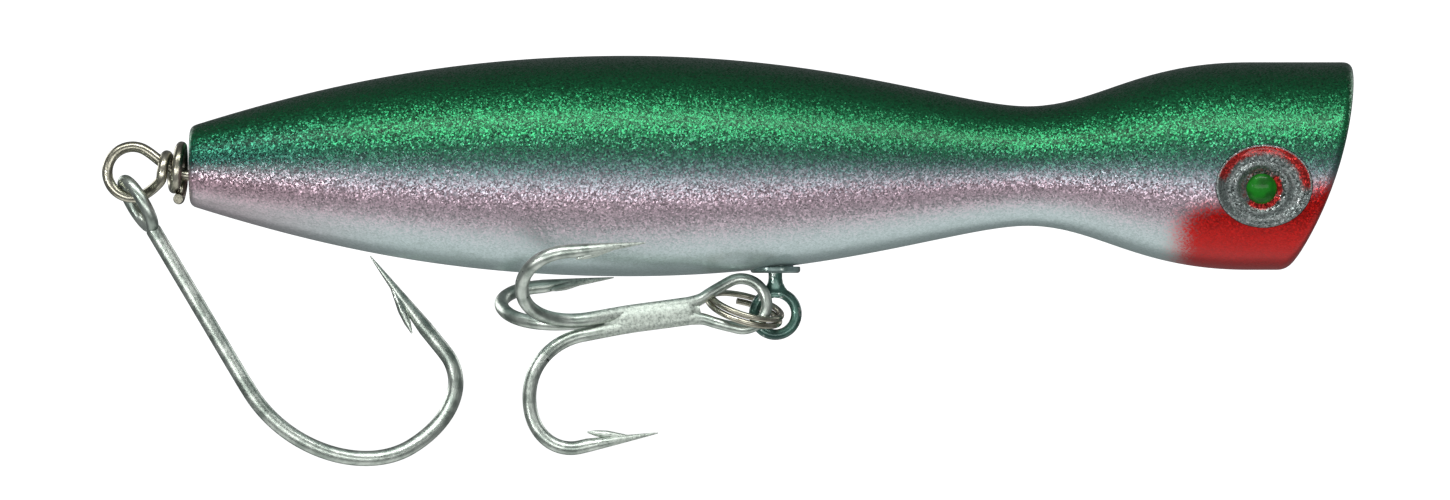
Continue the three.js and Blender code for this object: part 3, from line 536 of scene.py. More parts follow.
@dataclass(frozen=True)
class FlakeLacquer(Finish):
    """Metal-flake lacquer sprayed over moulded ABS, under a clear coat.

    The flakes give a coarse sparkle in a soft highlight, and the coat a faint sheen over it.
    The bands run from the belly to the back.
    """

    bands: tuple[tuple[float, str], ...] = (
        (0.00, "#b9cecb"),
        (0.13, "#bfcccd"),
        (0.24, "#c2b4bc"),
        (0.34, "#bca4b0"),
        (0.41, "#9a9aa3"),
        (0.48, "#52696a"),
        (0.57, "#2c5f4b"),
        (0.68, "#1c6b42"),
        (0.82, "#125d38"),
        (0.93, "#0b4a2a"),
        (1.00, "#083320"),
    )
    chin_red: str = "#b4100b"
    mouth_red: str = "#a8140f"
    tail_teal: str = "#235350"
    tail_pink: str = "#b896a0"
    flakes: Flakes = Flakes(0.17, 0.42)  # real flakes are near 0.1 mm: coarser, so that they show

    def build(self) -> bpy.types.Material:
        """Returns the body's paint."""
        material, add, shader = self.start()
        reads = {name: add("ShaderNodeAttribute", {"attribute_name": name}).outputs["Fac"]
                 for name in ("height", "tail", "chin", "mouth")}
        flaked = add("ShaderNodeMapRange", EASED, {"Value": reads["height"], "From Min": 0.05,
                                                   "From Max": 0.4, "To Min": 0.2})
        random, leaning = self.flakes.build(add, flaked)
        level = add("ShaderNodeMath", {"operation": "SUBTRACT"}, {0: random, 1: 0.5})
        scatter = add("ShaderNodeMath", {"operation": "MULTIPLY"}, {0: level, 1: 0.09})
        height = add("ShaderNodeMath", {}, {0: reads["height"], 1: scatter})
        ramp = add("ShaderNodeValToRGB", {}, {"Fac": height})
        stops = ramp.color_ramp.elements
        for _ in self.bands[2:]:
            stops.new(0.5)
        for stop, (at, code) in zip(stops, self.bands):
            stop.position = at
            stop.color = linear(code)
        upper = add("ShaderNodeMapRange", EASED, {"Value": height, "From Min": 0.34, "From Max": 0.56})
        tint = add("ShaderNodeMix", MIX, {"Factor": upper, COLOUR_A: linear(self.tail_pink),
                                          COLOUR_B: linear(self.tail_teal)})
        tailed = add("ShaderNodeMix", MIX, {"Factor": reads["tail"], COLOUR_A: ramp, COLOUR_B: tint})
        mist = add("ShaderNodeMath", {"operation": "MULTIPLY_ADD"}, {0: scatter, 1: 3.0, 2: reads["chin"]})
        chin = add("ShaderNodeMapRange", EASED, {"Value": mist, "From Min": 0.12, "From Max": 0.88})
        sprayed = add("ShaderNodeMix", MIX, {"Factor": chin, COLOUR_A: tailed,
                                             COLOUR_B: linear(self.chin_red)})
        contrast = add("ShaderNodeMath", {"operation": "MULTIPLY"}, {0: level, 1: flaked})
        spark = add("ShaderNodeMath", {"operation": "MULTIPLY_ADD"}, {0: contrast, 1: 1.3, 2: 1.0})
        grey = add("ShaderNodeCombineColor", {}, {0: spark, 1: spark, 2: spark})
        bright = add("ShaderNodeMix", MIX | {"blend_type": "MULTIPLY"},
                     {"Factor": 1.0, COLOUR_A: sprayed, COLOUR_B: grey})
        whole = add("ShaderNodeMix", MIX, {"Factor": reads["mouth"], COLOUR_A: bright,
                                           COLOUR_B: linear(self.mouth_red)})
        feed(shader, {"Base Color": whole, "Normal": leaning, "Metallic": 0.72, "Roughness": 0.32,
                      "Specular IOR Level": 0.3, "Coat Weight": 0.12, "Coat Roughness": 0.28})
        return material


@dataclass(frozen=True)
class DrawnWire(Finish):
    """Stainless wire or spring steel, drawn through a die.

    Fine lines run along the wire and break up its highlight.
    """

    colour: str = "#c4c1b0"
    dark: str = "#8b897a"
    roughness: float = 0.24
    lines_round: float = 26.0  # die lines round the girth, coarser than real so that they show
    line_mm: float = 3.5

    def build(self) -> bpy.types.Material:
        """Returns the wire's metal."""
        material, add, shader = self.start()
        along, around = (add("ShaderNodeAttribute", {"attribute_name": name}).outputs["Fac"]
                         for name in ("along", "around"))
        length = add("ShaderNodeMath", {"operation": "MULTIPLY"}, {0: along, 1: per_mm(self.line_mm)})
        girth = add("ShaderNodeMath", {"operation": "MULTIPLY"}, {0: around, 1: self.lines_round})
        grid = add("ShaderNodeCombineXYZ", {}, {"X": length, "Y": girth})
        lines = add("ShaderNodeTexNoise", {}, {"Vector": grid, "Scale": 1.0, "Detail": 3.0})
        where = add("ShaderNodeTexCoord").outputs["Object"]
        stains = add("ShaderNodeTexNoise", {}, {"Vector": where, "Scale": per_mm(1.6), "Detail": 3.0})
        share = add("ShaderNodeMath", {"operation": "MULTIPLY"}, {0: lines, 1: stains})
        worn = add("ShaderNodeMapRange", EASED, {"Value": share, "From Min": 0.16, "From Max": 0.36})
        colour = add("ShaderNodeMix", MIX, {"Factor": worn, COLOUR_A: linear(self.dark),
                                            COLOUR_B: linear(self.colour)})
        rough = add("ShaderNodeMapRange", {}, {"Value": lines, "From Min": 0.3, "From Max": 0.7,
                                               "To Min": self.roughness + 0.12, "To Max": self.roughness})
        bump = add("ShaderNodeBump", {}, {"Strength": 0.12, "Distance": 0.04 * MM, "Height": lines})
        feed(shader, {"Base Color": colour, "Roughness": rough, "Normal": bump, "Metallic": 1.0})
        return material


@dataclass(frozen=True)
class TinnedSteel(Finish):
    """High-carbon hook steel, dipped in tin.

    The dip leaves a satin, slightly mottled and pitted skin, greyer where a braze was run.
    """

    colour: str = "#cdd5cc"
    dull: str = "#98a39a"
    pit: str = "#3b443d"
    braze: str = "#8d968e"
    grain_mm: float = 0.32
    roughness: float = 0.28

    def build(self) -> bpy.types.Material:
        """Returns the hooks' metal."""
        material, add, shader = self.start()
        where = add("ShaderNodeTexCoord").outputs["Object"]
        mottle = add("ShaderNodeTexNoise", {}, {"Vector": where, "Scale": per_mm(2.2), "Detail": 4.0})
        grain = add("ShaderNodeTexNoise", {}, {"Vector": where, "Scale": per_mm(self.grain_mm),
                                               "Detail": 3.0, "Roughness": 0.7})
        spots = add("ShaderNodeTexNoise", {}, {"Vector": where, "Scale": per_mm(0.7), "Detail": 2.0,
                                               "Distortion": 0.6})
        bright = add("ShaderNodeMapRange", EASED, {"Value": mottle, "From Min": 0.35, "From Max": 0.62})
        even = add("ShaderNodeMix", MIX, {"Factor": bright, COLOUR_A: linear(self.dull),
                                          COLOUR_B: linear(self.colour)})
        pits = add("ShaderNodeMapRange", EASED, {"Value": spots, "From Min": 0.7, "From Max": 0.8})
        pitted = add("ShaderNodeMix", MIX, {"Factor": pits, COLOUR_A: even, COLOUR_B: linear(self.pit)})
        braze = add("ShaderNodeAttribute", {"attribute_name": "braze"}).outputs["Fac"]
        rough_run = add("ShaderNodeMapRange", EASED, {"Value": grain, "From Min": 0.3, "From Max": 0.62})
        run = add("ShaderNodeMix", MIX, {"Factor": rough_run, COLOUR_A: linear(self.braze),
                                         COLOUR_B: linear(self.colour)})
        colour = add("ShaderNodeMix", MIX, {"Factor": braze, COLOUR_A: pitted, COLOUR_B: run})
        rough = add("ShaderNodeMapRange", {}, {"Value": grain, "From Min": 0.3, "From Max": 0.7,
                                               "To Min": self.roughness, "To Max": self.roughness + 0.2})
        duller = add("ShaderNodeMath", {"operation": "MULTIPLY_ADD", "use_clamp": True},
                     {0: braze, 1: 0.2, 2: rough})
        depth = add("ShaderNodeMath", {"operation": "MULTIPLY_ADD"}, {0: braze, 1: 0.5, 2: 0.2})
        bump = add("ShaderNodeBump", {}, {"Strength": depth, "Distance": 0.06 * MM, "Height": grain})
        feed(shader, {"Base Color": colour, "Roughness": duller, "Normal": bump, "Metallic": 1.0})
        return material


@dataclass(frozen=True)
class SprayedSteel(Finish):
    """Swivel steel that caught the body's green lacquer: thin, patchy paint over metal."""

    paint: str = "#4d7468"
    shade: str = "#264740"
    metal: str = "#a4afa9"
    cover: float = 0.58

    def build(self) -> bpy.types.Material:
        """Returns the oversprayed metal."""
        material, add, shader = self.start()
        where = add("ShaderNodeTexCoord").outputs["Object"]
        patches = add("ShaderNodeTexNoise", {}, {"Vector": where, "Scale": per_mm(0.9), "Detail": 4.0})
        cloud = add("ShaderNodeTexNoise", {}, {"Vector": where, "Scale": per_mm(2.5), "Detail": 2.0})
        thick = add("ShaderNodeMapRange", EASED, {"Value": cloud, "From Min": 0.35, "From Max": 0.65})
        paint = add("ShaderNodeMix", MIX, {"Factor": thick, COLOUR_A: linear(self.shade),
                                           COLOUR_B: linear(self.paint)})
        bare = add("ShaderNodeMapRange", EASED, {"Value": patches, "From Min": self.cover,
                                                 "From Max": self.cover + 0.06})
        colour = add("ShaderNodeMix", MIX, {"Factor": bare, COLOUR_A: paint, COLOUR_B: linear(self.metal)})
        metal = add("ShaderNodeMapRange", {}, {"Value": bare, "To Min": 0.45})
        feed(shader, {"Base Color": colour, "Metallic": metal, "Roughness": 0.32, "Coat Weight": 0.4,
                      "Coat Roughness": 0.15})
        return material


@dataclass(frozen=True)
class EyeLacquer(Finish):
    """Silver flake in clear lacquer on the eye's dish, with red misted over its upper band."""

    silver: str = "#8f9896"
    grey: str = "#3a4441"
    red: str = "#9c1712"
    flakes: Flakes = Flakes(0.18, 0.8)

    def build(self) -> bpy.types.Material:
        """Returns the dish's paint."""
        material, add, shader = self.start()
        random, leaning = self.flakes.build(add)
        silver = add("ShaderNodeMix", MIX, {"Factor": random, COLOUR_A: linear(self.grey),
                                            COLOUR_B: linear(self.silver)})
        red = add("ShaderNodeAttribute", {"attribute_name": "red"}).outputs["Fac"]
        level = add("ShaderNodeMath", {"operation": "SUBTRACT"}, {0: random, 1: 0.5})
        mist = add("ShaderNodeMath", {"operation": "MULTIPLY_ADD"}, {0: level, 1: 0.5, 2: red})
        share = add("ShaderNodeMapRange", EASED, {"Value": mist, "From Min": 0.2, "From Max": 0.8})
        colour = add("ShaderNodeMix", MIX, {"Factor": share, COLOUR_A: silver, COLOUR_B: linear(self.red)})
        feed(shader, {"Base Color": colour, "Normal": leaning, "Metallic": 0.7, "Roughness": 0.34,
                      "Coat Weight": 0.5, "Coat Roughness": 0.12})
        return material


@dataclass(frozen=True)
class Enamel(Finish):
    """A drop of gloss enamel: one deep colour, a trace of brush cloud and a sharp glint."""

    colour: str = "#04700a"
    deep: str = "#024d05"

    def build(self) -> bpy.types.Material:
        """Returns the enamel."""
        material, add, shader = self.start()
        where = add("ShaderNodeTexCoord").outputs["Object"]
        cloud = add("ShaderNodeTexNoise", {}, {"Vector": where, "Scale": per_mm(1.2), "Detail": 1.0})
        share = add("ShaderNodeMapRange", EASED, {"Value": cloud, "From Min": 0.3, "From Max": 0.7})
        colour = add("ShaderNodeMix", MIX, {"Factor": share, COLOUR_A: linear(self.deep),
                                            COLOUR_B: linear(self.colour)})
        feed(shader, {"Base Color": colour, "Roughness": 0.5, "Specular IOR Level": 0.2,
                      "Coat Weight": 0.2, "Coat Roughness": 0.04})
        return material


@dataclass(frozen=True)
class CastMetal(Finish):
    """A cast or turned metal inside the body: lead slugs and the brass barrel."""

    colour: str
    dark: str
    roughness: float
    grain_mm: float = 0.8

    def build(self) -> bpy.types.Material:
        """Returns the metal."""
        material, add, shader = self.start()
        where = add("ShaderNodeTexCoord").outputs["Object"]
        grain = add("ShaderNodeTexNoise", {}, {"Vector": where, "Scale": per_mm(self.grain_mm),
                                               "Detail": 4.0})
        share = add("ShaderNodeMapRange", EASED, {"Value": grain, "From Min": 0.3, "From Max": 0.7})
        colour = add("ShaderNodeMix", MIX, {"Factor": share, COLOUR_A: linear(self.dark),
                                            COLOUR_B: linear(self.colour)})
        bump = add("ShaderNodeBump", {}, {"Strength": 0.3, "Distance": 0.1 * MM, "Height": grain})
        feed(shader, {"Base Color": colour, "Normal": bump, "Metallic": 1.0,
                      "Roughness": self.roughness})
        return material


def dress(thing: bpy.types.Object, finish: bpy.types.Material) -> None:
    """Gives a piece one material and smooth shading with its real edges kept."""
    thing.data.materials.clear()
    thing.data.materials.append(finish)
    thing.data.polygons.foreach_set("material_index", np.zeros(len(thing.data.polygons), int))
    thing.data.shade_smooth()
    thing.data.set_sharp_from_angle(angle=SMOOTH_ANGLE)


def deliver(thing: bpy.types.Object, body: str, slot: str, *nodes: str) -> None:
    """Hands a finished piece to the frame.

    Args:
        thing: the piece.
        body: the CAD body it rides on.
        slot: the record's material slot; not used.
        nodes: the CAD nodes that it stands for.
    """
    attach(thing, body)
    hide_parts(*nodes)
    log.info("%s: %d faces on %s", thing.name, len(thing.data.polygons), body)


def places(thing: bpy.types.Object) -> Points:
    """Returns a piece's vertices in millimetres."""
    flat = np.empty(3 * len(thing.data.vertices), np.float32)
    thing.data.vertices.foreach_get("co", flat)
    return flat.reshape(-1, 3) / MM


def paint(thing: bpy.types.Object, name: str, values: np.ndarray) -> None:
    """Stores one number for each vertex, for a finish to read."""
    made = thing.data.attributes.new(name, "FLOAT", "POINT")
    made.data.foreach_set("value", np.asarray(values, np.float32))


# ------------------------------------------------------------------ the body


BODY = "lure_body"
X_AXIS = vec(1, 0, 0)
Y_AXIS = vec(0, 1, 0)
Z_AXIS = vec(0, 0, 1)
FAR = 60.0  # well past the body, for cutting blocks


@dataclass
class Body:
    """The waisted hollow body in two halves, with its raked face and mouth cup."""

    length: float = 134.9
    axis_z: float = 1.0
    lip_to_tie: float = 5.5
    tail_radius: float = 4.6
    tail_round: float = 0.8
    belly_radius: float = 12.8
    belly_station: float = 50.8
    neck_radius: float = 6.95
    neck_to_lip: float = 37.7
    head_radius: float = 12.05
    head_to_lip: float = 12.2
    wall: float = 2.0
    cavity_from_tail: float = 9.0
    cavity_to_lip: float = 18.5
    lip_rake: float = 7.5
    face_bulge: float = 1.5
    lip_round: float = 1.3
    mouth_radius: float = 10.0
    mouth_depth: float = 7.6
    mouth_edge: float = 0.35
    channel_radius: float = 0.72
    leg_drop: float = 1.4
    leg_slot_end: float = -12.95
    rib: float = 1.6
    slugs: tuple[tuple[float, float, float], ...] = ((33.0, 24.0, 6.2), (12.5, 13.0, 4.6))
    slug_room: float = 0.3
    boss_half: float = 5.0
    boss_top: float = 2.23
    bore: tuple[tuple[float, float], ...] = ()
    hanger_station: float = 67.9  # from the tail's end to the hanger
    sides: int = 168
    outline: Points = field(init=False)

    def __post_init__(self) -> None:
        """Draws the outline and the face's arc."""
        neck = self.length - self.neck_to_lip
        head = self.length - self.head_to_lip
        swell = self.belly_station - self.tail_round
        taper = neck - self.belly_station
        flare = head - neck
        edge = self.tail_radius + 0.3 * self.tail_round
        rise = self.tail_radius + 0.6 * (self.belly_radius - self.tail_radius)
        corner = bezier((0, self.tail_radius - self.tail_round),
                        (0, self.tail_radius - 0.3 * self.tail_round),
                        (0.3 * self.tail_round, self.tail_radius + 0.1 * self.tail_round),
                        (self.tail_round, edge), 6)
        belly = bezier((self.tail_round, edge), (self.tail_round + 0.3 * swell, rise),
                       (self.belly_station - 0.4 * swell, self.belly_radius),
                       (self.belly_station, self.belly_radius), 40)
        waist = bezier((self.belly_station, self.belly_radius),
                       (self.belly_station + 0.52 * taper, self.belly_radius),
                       (neck - 0.17 * taper, self.neck_radius), (neck, self.neck_radius), 40)
        nose = bezier((neck, self.neck_radius), (neck + 0.31 * flare, self.neck_radius),
                      (head - 0.51 * flare, self.head_radius), (head, self.head_radius), 40)
        end = np.array([[self.length + FAR, self.head_radius]])
        self.outline = np.vstack([corner, belly[1:], waist[1:], nose[1:], end])
        self.tail_x = self.lip_to_tie - self.length
        upper = np.array([self.lip_to_tie, self.axis_z + self.head_radius])
        lower = np.array([self.lip_to_tie - self.lip_rake, self.axis_z - self.head_radius])
        half = np.linalg.norm(upper - lower) / 2
        self.face_up = (upper - lower) / (2 * half)
        self.face_out = np.array([self.face_up[1], -self.face_up[0]])
        self.face_radius = (half**2 + self.face_bulge**2) / (2 * self.face_bulge)
        self.face_top = (upper + lower) / 2 + self.face_bulge * self.face_out
        self.face_centre = self.face_top - self.face_radius * self.face_out

    def radius_at(self, x: np.ndarray) -> np.ndarray:
        """Returns the body's radius at places along X."""
        return np.interp(np.asarray(x) - self.tail_x, self.outline[:, 0], self.outline[:, 1])

    def face_x(self, z: np.ndarray) -> np.ndarray:
        """Returns how far forward the mouth face is at a height."""
        return self.face_centre[0] + np.sqrt(self.face_radius**2 - (z - self.face_centre[1]) ** 2)

    def surface_y(self, x: np.ndarray, z: np.ndarray) -> np.ndarray:
        """Returns the body's half width at a place seen from its side."""
        return np.sqrt(np.maximum(self.radius_at(x) ** 2 - (z - self.axis_z) ** 2, 0))

    def skin(self) -> bpy.types.Object:
        """Returns the closed outer surface: tail, sides, rounded lip, face and mouth cup."""
        angle = np.linspace(0, 2 * math.pi, self.sides, endpoint=False)
        across, up = np.cos(angle), np.sin(angle)

        def ring(x: np.ndarray, radius: np.ndarray) -> Points:
            """Returns the round of the skin at a station."""
            return np.column_stack([np.broadcast_to(x, across.shape), radius * across,
                                    self.axis_z + radius * up])

        rings = [np.array([[self.tail_x, 0, self.axis_z]])]
        disc = self.tail_radius - self.tail_round
        rings += [ring(self.tail_x, share * disc) for share in (0.35, 0.7)]
        sheared_from = self.length - self.neck_to_lip + 2
        for station, radius in self.outline[self.outline[:, 0] < sheared_from]:
            rings.append(ring(self.tail_x + station, radius))
        lip = self.face_x(self.axis_z + self.head_radius * up)
        start = self.tail_x + sheared_from
        side_end = lip - self.lip_round
        for share in np.linspace(0, 1, 34)[1:]:
            x = start + share * (side_end - start)
            rings.append(ring(x, self.radius_at(x)))
        inside = self.head_radius - self.lip_round
        inner = ring(self.face_x(self.axis_z + inside * up), inside)
        outer = ring(side_end, self.head_radius)
        corner = ring(lip, self.head_radius)
        for t in np.linspace(0, 1, 9)[1:]:
            rings.append((1 - t) ** 2 * outer + 2 * (1 - t) * t * corner + t**2 * inner)
        edge = self.mouth_radius + self.mouth_edge
        cup_z = self.face_top[1] + edge * up * self.face_up[1]
        cup = np.column_stack([self.face_x(cup_z), edge * across, cup_z])
        for t in (0.5, 1.0):
            flat = (1 - t) * inner + t * cup
            flat[:, 0] = self.face_x(flat[:, 2])
            rings.append(flat)
        dip = self.mouth_edge + (self.mouth_radius * up) ** 2 / (2 * self.face_radius)
        first = np.arcsin(dip / self.mouth_depth)
        wall = self.in_cup(first, across, up)
        rim_z = self.face_top[1] + self.mouth_radius * up * self.face_up[1]
        rim = np.column_stack([self.face_x(rim_z), self.mouth_radius * across, rim_z])
        for t in (0.3, 0.65, 1.0):
            rings.append((1 - t) ** 2 * cup + 2 * (1 - t) * t * rim + t**2 * wall)
        for share in np.linspace(0, 1, 22)[1:-1]:
            rings.append(self.in_cup(first + share * (math.pi / 2 - first), across, up))
        rings.append(self.in_cup(np.array([math.pi / 2]), np.zeros(1), np.zeros(1)))
        return rings_solid("body_skin", rings)

    def in_cup(self, turn: np.ndarray, across: np.ndarray, up: np.ndarray) -> Points:
        """Returns a ring of points on the cup, at angles from its edge to its bottom."""
        radius = self.mouth_radius * np.cos(turn)
        depth = self.mouth_depth * np.sin(turn)
        x = self.face_top[0] + radius * up * self.face_up[0] - depth * self.face_out[0]
        z = self.face_top[1] + radius * up * self.face_up[1] - depth * self.face_out[1]
        return np.column_stack([x, radius * across, z])

    def rib_block(self, station: float) -> bpy.types.Object:
        """Returns a cross rib as a block wider than the body."""
        low = vec(self.tail_x + station, -FAR, -FAR)
        return box_solid("rib", low, low + vec(self.rib, 2 * FAR, 2 * FAR))

    def chamber(self, hanger_x: float) -> bpy.types.Object:
        """Returns the hollow inside, less the ribs that hold the slugs and the hanger's boss."""
        start, end = self.cavity_from_tail, self.length - self.cavity_to_lip
        stations = np.linspace(start, end, 60)
        radii = self.radius_at(self.tail_x + stations) - self.wall
        profile = np.vstack([[start, 0], np.column_stack([stations, radii]), [end, 0]])
        centre = vec(self.tail_x, 0, self.axis_z)
        hollow = turned("chamber", profile, X_AXIS, centre, 64)
        ribs = []
        for at, length, _ in self.slugs:
            for station in (at - self.slug_room - self.rib, at + (length - self.rib) / 2,
                            at + length + self.slug_room):
                ribs.append(self.rib_block(station))
        ribs.append(box_solid("boss", vec(hanger_x - self.boss_half, -FAR, -FAR),
                              vec(hanger_x + self.boss_half, FAR, self.boss_top)))
        return combine(hollow, ribs, Cut.AWAY)

    def channel(self) -> bpy.types.Object:
        """Returns the wire's way through the body, with a slot for the bent-back leg."""
        r = self.channel_radius
        long = np.array([[-3 * FAR, 0], [-3 * FAR, r], [FAR / 2, r], [FAR / 2, 0]])
        stem = turned("channel", long, X_AXIS, vec(0, 0, 0), 32)
        short = np.array([[self.leg_slot_end, 0], [self.leg_slot_end, r], [0, r], [0, 0]])
        leg = turned("leg_slot", short, X_AXIS, vec(0, 0, -self.leg_drop), 32)
        web = box_solid("web", vec(self.leg_slot_end, -r, -self.leg_drop), vec(0, r, 0))
        return combine(stem, [leg, web], Cut.JOIN)

    def build(self, pockets: Sequence[bpy.types.Object], hanger_x: float,
              finish: bpy.types.Material) -> None:
        """Builds both halves.

        Args:
            pockets: solids of the spaces for the eyes.
            hanger_x: where the swivel hangs.
            finish: the body's paint.
        """
        skin = self.skin()
        room = []
        for at, length, radius in self.slugs:
            low, high = at - self.slug_room, at + length + self.slug_room
            wide = radius + self.slug_room
            profile = np.array([[low, 0], [low, wide], [high, wide], [high, 0]])
            room.append(turned("slug_room", profile, X_AXIS, vec(self.tail_x, 0, 0), 40))
        bore = turned("bore", np.array(self.bore), Z_AXIS, vec(hanger_x, 0, 0), 48)
        combine(skin, [self.chamber(hanger_x), self.channel(), *room, bore, *pockets], Cut.AWAY)
        for word, low in (("right", -FAR), ("left", 0.0)):
            half = add_object(f"painted_half_{word}", skin.data.copy())
            side = box_solid("side", vec(-3 * FAR, low, -FAR), vec(FAR, low + FAR, FAR))
            combine(half, [side], Cut.KEEP)
            self.colour(half)
            dress(half, finish)
            deliver(half, BODY, "painted_body", f"body_shell_{word}")
        drop(skin)

    def colour(self, half: bpy.types.Object) -> None:
        """Stores where the paint's bands, tail tint, chin and mouth lie."""
        x, y, z = places(half).T
        share = (z - self.axis_z) / self.radius_at(x)
        station = x - self.tail_x
        paint(half, "height", 0.5 + 0.5 * np.clip(share, -1, 1))
        paint(half, "tail", 0.55 * (1 - smooth(2, 26, station)) * (1 - smooth(0.3, 0.8, share)))
        line = np.interp(station, (112, 116, 122, 128, 134), (-0.5, -0.42, -0.34, -0.24, -0.14))
        behind = smooth(110.5, 118, station)
        paint(half, "chin", smooth(-0.2, 0.2, line - share) * behind)
        depth = (x - self.face_top[0]) * self.face_out[0] + (z - self.face_top[1]) * self.face_out[1]
        out = np.hypot(y, (z - self.face_top[1]) / self.face_up[1])
        bowl = (out < self.mouth_radius + 0.2) & (depth > -self.mouth_depth - 0.5)
        paint(half, "mouth", bowl * 1.0)


# ------------------------------------------------------------------ eyes


@dataclass
class Eye:
    """An oval insert that follows the body's side, with a raised ring round a domed pupil."""

    body: Body
    to_lip: float = 10.9
    below_axis: float = 2.4
    half_length: float = 5.6
    half_height: float = 4.8
    pocket_depth: float = 2.3
    dish_depth: float = 1.3
    slack: float = 0.04  # round the insert
    pupil_radius: float = 1.75
    pupil_rise: float = 0.95
    pupil_back: float = 0.25  # pupil's centre behind and below the rim's centre
    pupil_down: float = 0.3
    sides: int = 112

    def __post_init__(self) -> None:
        """Works out where the eye sits and how its floor leans with the body's side."""
        self.x = self.body.lip_to_tie - self.to_lip
        self.z = self.body.axis_z - self.below_axis
        self.floor = self.body.head_radius - self.dish_depth
        self.lean = self.below_axis / self.floor

    def floor_y(self, z: np.ndarray, depth: float = 0.0) -> np.ndarray:
        """Returns the half width of the dish's leaning floor, less a depth."""
        return self.floor - depth + self.lean * (z - self.z)

    def oval(self, share: float, centre: tuple[float, float], turn: int) -> tuple[np.ndarray, np.ndarray]:
        """Returns X and Z round an oval that is a share of the rim.

        Args:
            share: size of the oval, 1 for the rim.
            centre: shift of its centre from the rim's.
            turn: 1 or -1, the way round.
        """
        angle = turn * np.linspace(0, 2 * math.pi, self.sides, endpoint=False)
        x = self.x + centre[0] + share * self.half_length * np.cos(angle)
        z = self.z + centre[1] + share * self.half_height * np.sin(angle)
        return x, z

    def stacked(self, name: str, side: int, rows: Sequence[tuple[np.ndarray, np.ndarray, np.ndarray]]
                ) -> bpy.types.Object:
        """Makes a closed solid from ovals in order, front to back.

        Args:
            name: the object's name.
            side: 1 for the left, -1 for the right.
            rows: X, Z and half width of each oval.
        """
        rings = [np.column_stack([x, side * y, z]) for x, z, y in rows]
        first = rings[0].mean(axis=0)[None]
        last = rings[-1].mean(axis=0)[None]
        return rings_solid(name, [first, *rings, last])

    def pocket(self, side: int) -> bpy.types.Object:
        """Returns the space in the body for one insert."""
        x, z = self.oval(1.0, (0, 0), side)
        back = self.pocket_depth - self.dish_depth
        return self.stacked("pocket", side, [(x, z, self.floor_y(z, -3 * self.dish_depth)),
                                             (x, z, self.floor_y(z, back))])

    def dish(self, side: int) -> bpy.types.Object:
        """Returns one insert: bead, band, inner ring and pupil seat."""
        shift = (-self.pupil_back, -self.pupil_down)
        seat = (self.pupil_radius + 0.06) / self.half_length
        tall = self.half_length / self.half_height  # the seat and the inner ring are nearly round
        rows = []
        inner = [(0.6, -0.02), (0.97, -0.02), (1.06, 0.06), (1.2, 0.12), (1.36, 0.26), (1.48, 0.44),
                 (1.58, 0.56), (1.68, 0.58), (1.78, 0.5), (1.9, 0.34), (2.02, 0.24)]
        for share, rise in inner:
            grown = seat * share
            angle = side * np.linspace(0, 2 * math.pi, self.sides, endpoint=False)
            round_z = 1 + (tall - 1) * (1 - smooth(1.2, 2.1, np.array(share)))
            x = self.x + shift[0] + grown * self.half_length * np.cos(angle)
            z = self.z + shift[1] + grown * self.half_height * round_z * np.sin(angle)
            rows.append((x, z, self.floor_y(z, -rise)))
        band = [(0.74, 0.1, 0.16), (0.8, 0.32, 0.3), (0.86, 0.62, 0.52), (0.905, 0.86, 0.8),
                (0.93, 1.0, 1.02), (0.95, 1.0, 1.08), (0.97, 1.0, 1.1), (0.985, 1.0, 1.06),
                (0.992, 1.0, 1.0)]
        for share, blend, level in band:
            part = 1 - smooth(0.7, 0.9, np.array(share))
            x, z = self.oval(share, (shift[0] * part, shift[1] * part), side)
            skin = self.body.surface_y(x, z)
            floor = self.floor_y(z, -0.24)
            bead = 0.14 * smooth(0.94, 1.1, np.array(level)) * (share < 0.99)
            rows.append((x, z, floor + blend * (skin - floor) + bead))
        x, z = self.oval(1 - self.slack / self.half_height, (0, 0), side)
        rows.append((x, z, self.body.surface_y(x, z) - 0.1))
        rows.append((x, z, self.floor_y(z, self.pocket_depth - self.dish_depth - 0.05)))
        made = self.stacked(f"eye_insert_{'left' if side > 0 else 'right'}", side, rows)
        px, _, pz = places(made).T
        across = (px - self.x) / self.half_length
        up = (pz - self.z) / self.half_height
        reach = np.hypot(across, up)
        upper = smooth(-0.15, 0.25, up + 0.12 * across)
        crescent = 0.95 * smooth(0.7, 0.84, reach) * (1 - smooth(0.93, 0.98, reach)) * upper
        from_pupil = np.hypot(px - self.x - shift[0], pz - self.z - shift[1]) / self.pupil_radius
        lower = 0.35 + 0.65 * smooth(-0.3, 0.5, (px - self.x - shift[0]) - (pz - self.z - shift[1]))
        round_pupil = (1 - smooth(1.25, 1.5, from_pupil)) * lower
        paint(made, "red", np.maximum(crescent, round_pupil))
        return made

    def pupil(self, side: int) -> bpy.types.Object:
        """Returns one domed pupil, flat where it sits."""
        angle = side * np.linspace(0, 2 * math.pi, 64, endpoint=False)
        rows = []
        for turn in np.radians((84, 72, 58, 44, 30, 16, 6, 0)):
            reach = self.pupil_radius * math.cos(turn)
            x = self.x - self.pupil_back + reach * np.cos(angle)
            z = self.z - self.pupil_down + reach * np.sin(angle)
            rows.append((x, z, self.floor_y(z, -0.12 - self.pupil_rise * math.sin(turn))))
        x, z, _ = rows[-1]
        rows.append((x, z, self.floor_y(z, 0.02)))
        return self.stacked(f"pupil_{'left' if side > 0 else 'right'}", side, rows)

    def build(self, lacquer: bpy.types.Material, enamel: bpy.types.Material) -> None:
        """Builds both eyes in their finishes."""
        for side, word in ((-1, "right"), (1, "left")):
            insert, pupil = self.dish(side), self.pupil(side)
            dress(insert, lacquer)
            dress(pupil, enamel)
            deliver(insert, BODY, "eye_glitter", f"eye_dish_{word}")
            deliver(pupil, BODY, "eye_green", f"eye_pupil_{word}")


# ------------------------------------------------------------------ through wire


